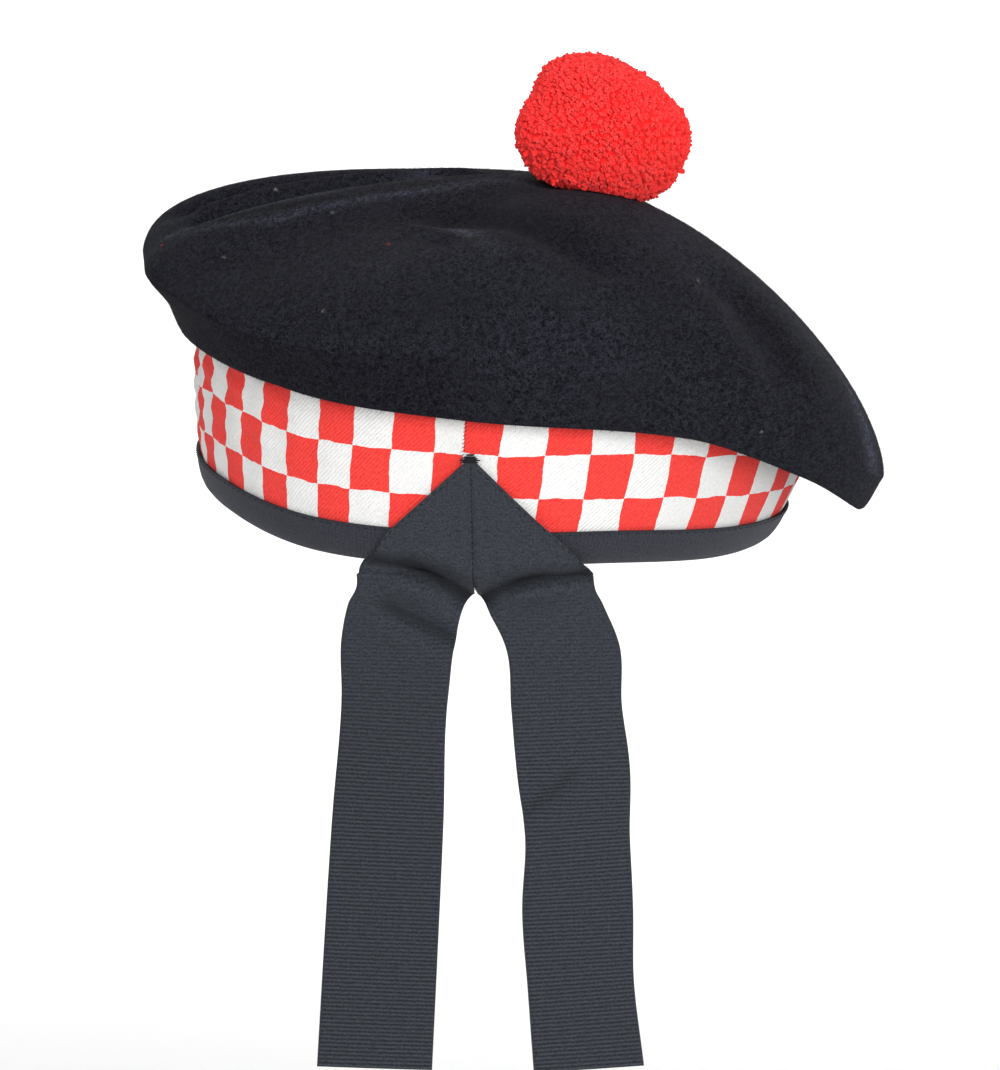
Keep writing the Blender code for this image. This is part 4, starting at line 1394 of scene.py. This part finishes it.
yarn_ways = unit(even_directions(YARNS) + random.normal(scale=TIP_WANDER, size=(YARNS, 3)))
yarn_tips = yarn_ways * clipped_reach(yarn_ways)[:, None]
yarn_ways = unit(yarn_ways + random.normal(scale=WAY_WANDER, size=yarn_ways.shape))
side, other = side_ways(yarn_ways)
twist = random.uniform(0, TURN, YARNS)
yarn_dye = random.random(YARNS)
stray = np.where(random.random(YARNS) < STRAY_SHARE, STRAY_LENGTH, 0)
tips, ways, dyes = [], [], []
for ply in range(PLIES):
    angle = twist + TURN * ply / PLIES
    aside = side * np.cos(angle)[:, None] + other * np.sin(angle)[:, None]
    along = random.normal(scale=LENGTH_WANDER, size=YARNS) + stray
    apart = PLY_SPREAD * random.uniform(*SPREAD_RANGE, (YARNS, 1))
    tips.append(yarn_tips + aside * apart + yarn_ways * along[:, None])
    bent = random.normal(scale=WAY_WANDER, size=yarn_ways.shape)
    ways.append(unit(yarn_ways + aside * PLY_SPLAY + bent))
    dyes.append(np.clip(yarn_dye + random.normal(scale=DYE_WANDER, size=YARNS), 0, 1))
tips = above_felt(toorie_centre + np.concatenate(tips))
ways = np.concatenate(ways)
print(len(tips), "plies")

# %% Plies
PLY_SIDES = 3
PLY_RADIUS = 0.00054
RADIUS_RANGE = (0.8, 1.2)
# Each ring's tone is its tip share: low tones get painted shade.
PlyRing = namedtuple("PlyRing", "from_tip width tone")
PLY_RINGS = (
    PlyRing(from_tip=0.0065, width=0.7, tone=0.0),
    PlyRing(from_tip=0.0009, width=1.0, tone=0.75),
    PlyRing(from_tip=0.0, width=0.8, tone=1.0),
)

side, other = side_ways(ways)
rings = []
for ring in PLY_RINGS:
    for corner in range(PLY_SIDES):
        angle = TURN * corner / PLY_SIDES
        radius = PLY_RADIUS * ring.width * random.uniform(*RADIUS_RANGE, (len(tips), 1))
        aside = side * math.cos(angle) + other * math.sin(angle)
        rings.append(tips - ways * ring.from_tip + aside * radius)
ply_points = np.stack(rings, axis=1).reshape(-1, 3)
size = len(rings)
faces = repeated(quads(len(PLY_RINGS), PLY_SIDES), len(tips), size)
faces += repeated([range(size - PLY_SIDES, size)], len(tips), size)
painted_root_shade_fades = np.tile(np.repeat([ring.tone for ring in PLY_RINGS], PLY_SIDES), len(tips))
dyes = np.repeat(np.concatenate(dyes), size)
print(len(faces), "faces on the plies")

# %% [markdown]
# ### The toorie's core
# A closed core fills the ball just under the tips, so no light falls through between the yarns.
# It is the convex hull of points spread over the same outline.

# %% Core and toorie
CORE_SHARE = 0.945
CORE_POINTS = 900

core_ways = even_directions(CORE_POINTS)
core = toorie_centre + core_ways * clipped_reach(core_ways)[:, None] * CORE_SHARE
hull = bmesh.new()
for point in core.tolist():
    hull.verts.new(point)
bmesh.ops.convex_hull(hull, input=hull.verts)
hull.verts.index_update()
first = len(ply_points)
faces += [[first + vert.index for vert in face.verts] for face in hull.faces]
core_points = above_felt(np.array([vert.co[:] for vert in hull.verts]))
hull.free()
# The core stores tip and dye shares of zero, so it takes the painted root shade colour.
none = np.zeros(len(core_points))
toorie = new_piece("toorie_yarns", np.concatenate((ply_points, core_points)), faces,
                   toorie_yarn, "toorie", smooth=False)
set_shade(toorie, "tip", np.concatenate((painted_root_shade_fades, none)))
set_shade(toorie, "dye", np.concatenate((dyes, none)))

# %% [markdown]
# ## Stitches
# The bonnet is sewn by machine and finished by hand. A line of small stitches holds the binding,
# whip stitches close the strip's join at the centre back, and the peak is sewn down along its
# slanting edges, along its middle and with a bar of thread across its tip. Each stitch is a
# short rod of thread that rises a little in its middle and dives into the cloth at both ends.

# %% Thread helper
THREAD_SIDES = 5
StitchRing = namedtuple("StitchRing", "along lift width")
STITCH_RINGS = (
    StitchRing(along=0, lift=-0.5, width=0.6),
    StitchRing(along=0.2, lift=0.5, width=1),
    StitchRing(along=0.8, lift=0.5, width=1),
    StitchRing(along=1, lift=-0.5, width=0.6),
)
sewing_thread, tree, shader = finish("sewing_thread", roughness=0.7, specular=0.2, sheen=0.05)
shader.inputs["Base Color"].default_value = (0.0045, 0.0045, 0.0070, 1)


def stitches(name, starts, ends, outs, radius):
    """Rods of thread between pairs of points; outs are the ways straight out of the cloth."""
    starts, ends = np.array(starts), np.array(ends)
    ways = unit(ends - starts)
    side = unit(np.cross(ways, outs))
    over = np.cross(side, ways)
    rings = []
    for ring in STITCH_RINGS:
        middle = starts + (ends - starts) * ring.along + outs * radius * ring.lift
        for corner in range(THREAD_SIDES):
            angle = TURN * corner / THREAD_SIDES
            around = side * math.cos(angle) + over * math.sin(angle)
            rings.append(middle + around * radius * ring.width)
    points = np.stack(rings, axis=1)
    faces = repeated(quads(len(STITCH_RINGS), THREAD_SIDES), len(points), len(rings))
    new_piece(name, points, faces, sewing_thread)


def dashes(path, pitch, length):
    """Starts and ends of stitches of this length along a path of points, one every pitch."""
    path = np.array(path)
    measure = way_along(path)
    places = np.arange(pitch / 2, measure[-1] - length, pitch)
    ends = [np.stack([np.interp(spot, measure, path[:, axis]) for axis in range(3)], axis=1)
            for spot in (places, places + length)]
    return ends[0], ends[1]


print("thread has", THREAD_SIDES, "sides")

# %% Stitches of the peak
SEAM_PITCH = 0.0014
SEAM_STITCH = 0.0006
SEAM_START_ROW = 4
SEAM_END = -0.0155
EDGE_PITCH = 0.0023
EDGE_STITCH = 0.0011
EDGE_ROW = 3
PEAK_THREAD = 0.00013
BACKWARD = np.array((0.0, -1.0, 0.0))

seam_path = [(tip.x, min(a[1], b[1]), a[2])
             for a, b in zip(left_far[SEAM_START_ROW:, 0], right_far[SEAM_START_ROW:, 0])
             if a[2] > SEAM_END]
runs = [dashes(seam_path, SEAM_PITCH, SEAM_STITCH)]
runs += [dashes(far[EDGE_ROW, 1:-1], EDGE_PITCH, EDGE_STITCH) for far in (left_far, right_far)]
starts = np.concatenate([run[0] for run in runs])
ends = np.concatenate([run[1] for run in runs])
stitches("peak_stitches", starts, ends, BACKWARD, PEAK_THREAD)

# %% [markdown]
# ### The bar tack
# Where the peak would tear first, a machine sews a bar to and fro across its tip. Its threads
# lie one below the other, uneven in length and a little aslant, and the bar widens downward as
# the peak does.

# %% Bar tack
TACK_THREADS = 8
TACK_THREAD = 0.00025
TACK_ABOVE_TIP = 0.0005
TACK_HEIGHT = 0.0016
TACK_HALF_WIDTH = 0.0011
TACK_UNEVEN = 0.0004
TACK_WAVE = 2.4
TACK_WIDENS = 0.0017
TACK_RIGHT_SHARE = 0.9
TACK_STEP = 0.0003
TACK_SINK = 0.0002

starts, ends = [], []
for thread in range(TACK_THREADS):
    height = tip.z + TACK_ABOVE_TIP - TACK_HEIGHT * thread / (TACK_THREADS - 1)
    half_bar = TACK_HALF_WIDTH + TACK_WIDENS * thread / TACK_THREADS
    half_bar += TACK_UNEVEN * math.sin(TACK_WAVE * thread)
    depth = back_of(band_surface, tip.x, height, EDGE_REACH) - TAIL_GAP - RIBBON_THICKNESS + TACK_SINK
    starts.append((tip.x - half_bar, depth, height - TACK_STEP * (thread % 3)))
    ends.append((tip.x + half_bar * TACK_RIGHT_SHARE, depth, height - TACK_STEP * (thread % 2)))
stitches("bar_tack", starts, ends, BACKWARD, TACK_THREAD)

# %% [markdown]
# ### Round the binding and up the join
# The binding's stitches run just under its upper edge, all round. At the centre back the strip's
# two ends are whipped together from the middle row up. Below that the peak covers the join.

# %% Stitches of the binding and the join
BINDING_STITCHES = 190
BINDING_STITCH_TURN = 0.0085
BINDING_STITCH_BELOW = 0.0008
BINDING_THREAD = 0.00016
BINDING_PROUD = 0.00004
JOIN_STITCHES = 16
JOIN_START_ROW = 1.6
JOIN_END_BELOW = 0.001
JOIN_TO_LEFT = 0.006
JOIN_TO_RIGHT = 0.005
JOIN_SLANT = 0.0006
JOIN_THREAD = 0.00009

spots = np.arange(BINDING_STITCHES) * TURN / BINDING_STITCHES
row = BINDING_HEIGHT - BINDING_STITCH_BELOW
starts = band_points(spots, row, BINDING_OUTER + BINDING_PROUD) @ TILT.T
ends = band_points(spots + BINDING_STITCH_TURN, row, BINDING_OUTER + BINDING_PROUD) @ TILT.T
stitches("binding_stitches", starts, ends, outward(spots) @ TILT.T, BINDING_THREAD)

join_start = BAND_BOTTOM + DICE_SIZE * JOIN_START_ROW
heights = np.linspace(join_start, BAND_HEIGHT - JOIN_END_BELOW, JOIN_STITCHES)
join = np.full(JOIN_STITCHES, JOIN_ANGLE)
starts = band_points(join - JOIN_TO_LEFT, heights, STRIP_OUTER) @ TILT.T
ends = band_points(join + JOIN_TO_RIGHT, heights + JOIN_SLANT, STRIP_OUTER) @ TILT.T
stitches("join_stitches", starts, ends, outward(join) @ TILT.T, JOIN_THREAD)

# %% [markdown]
# ## Loose fibres
# Milled felt is covered with a fine nap. Each fibre is a very thin, bent strip that lies almost
# flat on the cloth, in any direction. They blur the felt's outline and break up its surface. A
# few pale and red bits of lint have settled on the crown as well. A lint's place is where a ray
# from behind, this far to the right and this high in metres, meets the felt.

# %% Nap
NAP_FIBRES = 48000
NAP_WIDTH = 0.00006
NAP_LENGTHS = (0.0008, 0.0026)
NAP_LIFTS = (0.00006, 0.00034)
NAP_BEND = 0.0004
NAP_BELOW_LIP = 20
NAP_PALENESS = (0.22, 0.20)
NAP_DARK = (0.0040, 0.0040, 0.0065)
NAP_PALE = (0.0700, 0.0720, 0.0800)
STRIP_FACES = ((0, 1, 3, 2), (2, 3, 5, 4))
STRIP_POINTS = 6
TIP_LIFT = 0.6
TIP_WIDTH = 0.4

felt_fibres, tree, shader = finish("felt_fibres", roughness=0.9, specular=0.1)
paint(tree, shader, blend_colours(tree, stored(tree, "pale"), NAP_DARK, NAP_PALE))


def flat_ways(draw, normals):
    """A random direction for each normal, square to it."""
    ways = draw.normal(size=normals.shape)
    return unit(ways - normals * (ways * normals).sum(axis=1, keepdims=True))


def strips(places, normals, ways, lengths, lifts, width, bends):
    """Thin bent strips that start on a surface and lie along it; gives points and faces."""
    across = np.cross(ways, normals)
    side = unit(across) * width / 2
    half_way = places + ways * lengths * 0.5 + normals * lifts
    far_end = places + ways * lengths + across * bends + normals * lifts * TIP_LIFT
    points = np.stack((places - side, places + side, half_way - side, half_way + side,
                       far_end - side * TIP_WIDTH, far_end + side * TIP_WIDTH), axis=1)
    return points, repeated(STRIP_FACES, len(places), STRIP_POINTS)


draw = np.random.default_rng(11)
top = crown_surface[lip_row - NAP_BELOW_LIP:]
cells = np.linalg.norm(np.cross(top[1:] - top[:-1], np.roll(top, -1, axis=1)[:-1] - top[:-1]), axis=-1)
chosen = draw.choice(cells.size, NAP_FIBRES, p=(cells / cells.sum()).ravel())
row, column = np.unravel_index(chosen, cells.shape)
up, aside = draw.random((2, NAP_FIBRES, 1))
beside = (column + 1) % CROWN_COLUMNS
places = ((top[row, column] * (1 - up) + top[row + 1, column] * up) * (1 - aside)
          + (top[row, beside] * (1 - up) + top[row + 1, beside] * up) * aside)
normals = grid_normals(top)[row, column]
ways = flat_ways(draw, normals)
lengths = draw.uniform(*NAP_LENGTHS, (NAP_FIBRES, 1))
lifts = draw.uniform(*NAP_LIFTS, (NAP_FIBRES, 1))
bends = draw.normal(scale=NAP_BEND, size=(NAP_FIBRES, 1))
points, faces = strips(places, normals, ways, lengths, lifts, NAP_WIDTH, bends)
nap = new_piece("felt_nap", points, faces, felt_fibres)
paleness = np.clip(draw.normal(*NAP_PALENESS, NAP_FIBRES), 0, 1)
set_shade(nap, "pale", np.repeat(paleness, STRIP_POINTS))

# %% Lint
Lint = namedtuple("Lint", "right height red")
LINT = (
    Lint(right=-0.0830, height=0.0715, red=1),
    Lint(right=-0.0200, height=0.0722, red=1),
    Lint(right=-0.0550, height=0.0860, red=0),
    Lint(right=-0.0640, height=0.0685, red=0),
    Lint(right=-0.0330, height=0.0560, red=0),
    Lint(right=-0.0375, height=0.0800, red=0),
    Lint(right=0.0770, height=0.0250, red=0),
    Lint(right=0.0600, height=0.0630, red=0),
)
LINT_FIBRES = 12
LINT_WIDTH = 0.00012
LINT_LENGTHS = (0.0006, 0.0013)
LINT_LIFT = 0.0003
LINT_BEND = 0.0003
LINT_SPREAD = 0.00025
LINT_START_BACK = 0.0004
LINT_GREY = (0.16, 0.16, 0.16)
LINT_RED = (0.30, 0.035, 0.035)

lint_dye, tree, shader = finish("lint", roughness=0.9, specular=0.25)
paint(tree, shader, blend_colours(tree, stored(tree, "red"), LINT_GREY, LINT_RED))
crown_tree = BVHTree.FromPolygons(top.reshape(-1, 3).tolist(), quads(*top.shape[:2]).tolist())
centres, normals, reds = [], [], []
for lint in LINT:
    hit, normal, _, _ = crown_tree.ray_cast(Vector((lint.right, RAY_START, lint.height)), FORWARD)
    centres += [hit] * LINT_FIBRES
    normals += [normal if normal.dot(FORWARD) < 0 else -normal] * LINT_FIBRES
    reds += [lint.red] * LINT_FIBRES * STRIP_POINTS
normals = np.array(normals)
ways = flat_ways(draw, normals)
places = np.array(centres) - ways * LINT_START_BACK + draw.normal(scale=LINT_SPREAD, size=ways.shape)
lengths = draw.uniform(*LINT_LENGTHS, (len(ways), 1))
bends = draw.normal(scale=LINT_BEND, size=(len(ways), 1))
points, faces = strips(places, normals, ways, lengths, LINT_LIFT, LINT_WIDTH, bends)
set_shade(new_piece("lint", points, faces, lint_dye), "red", reds)
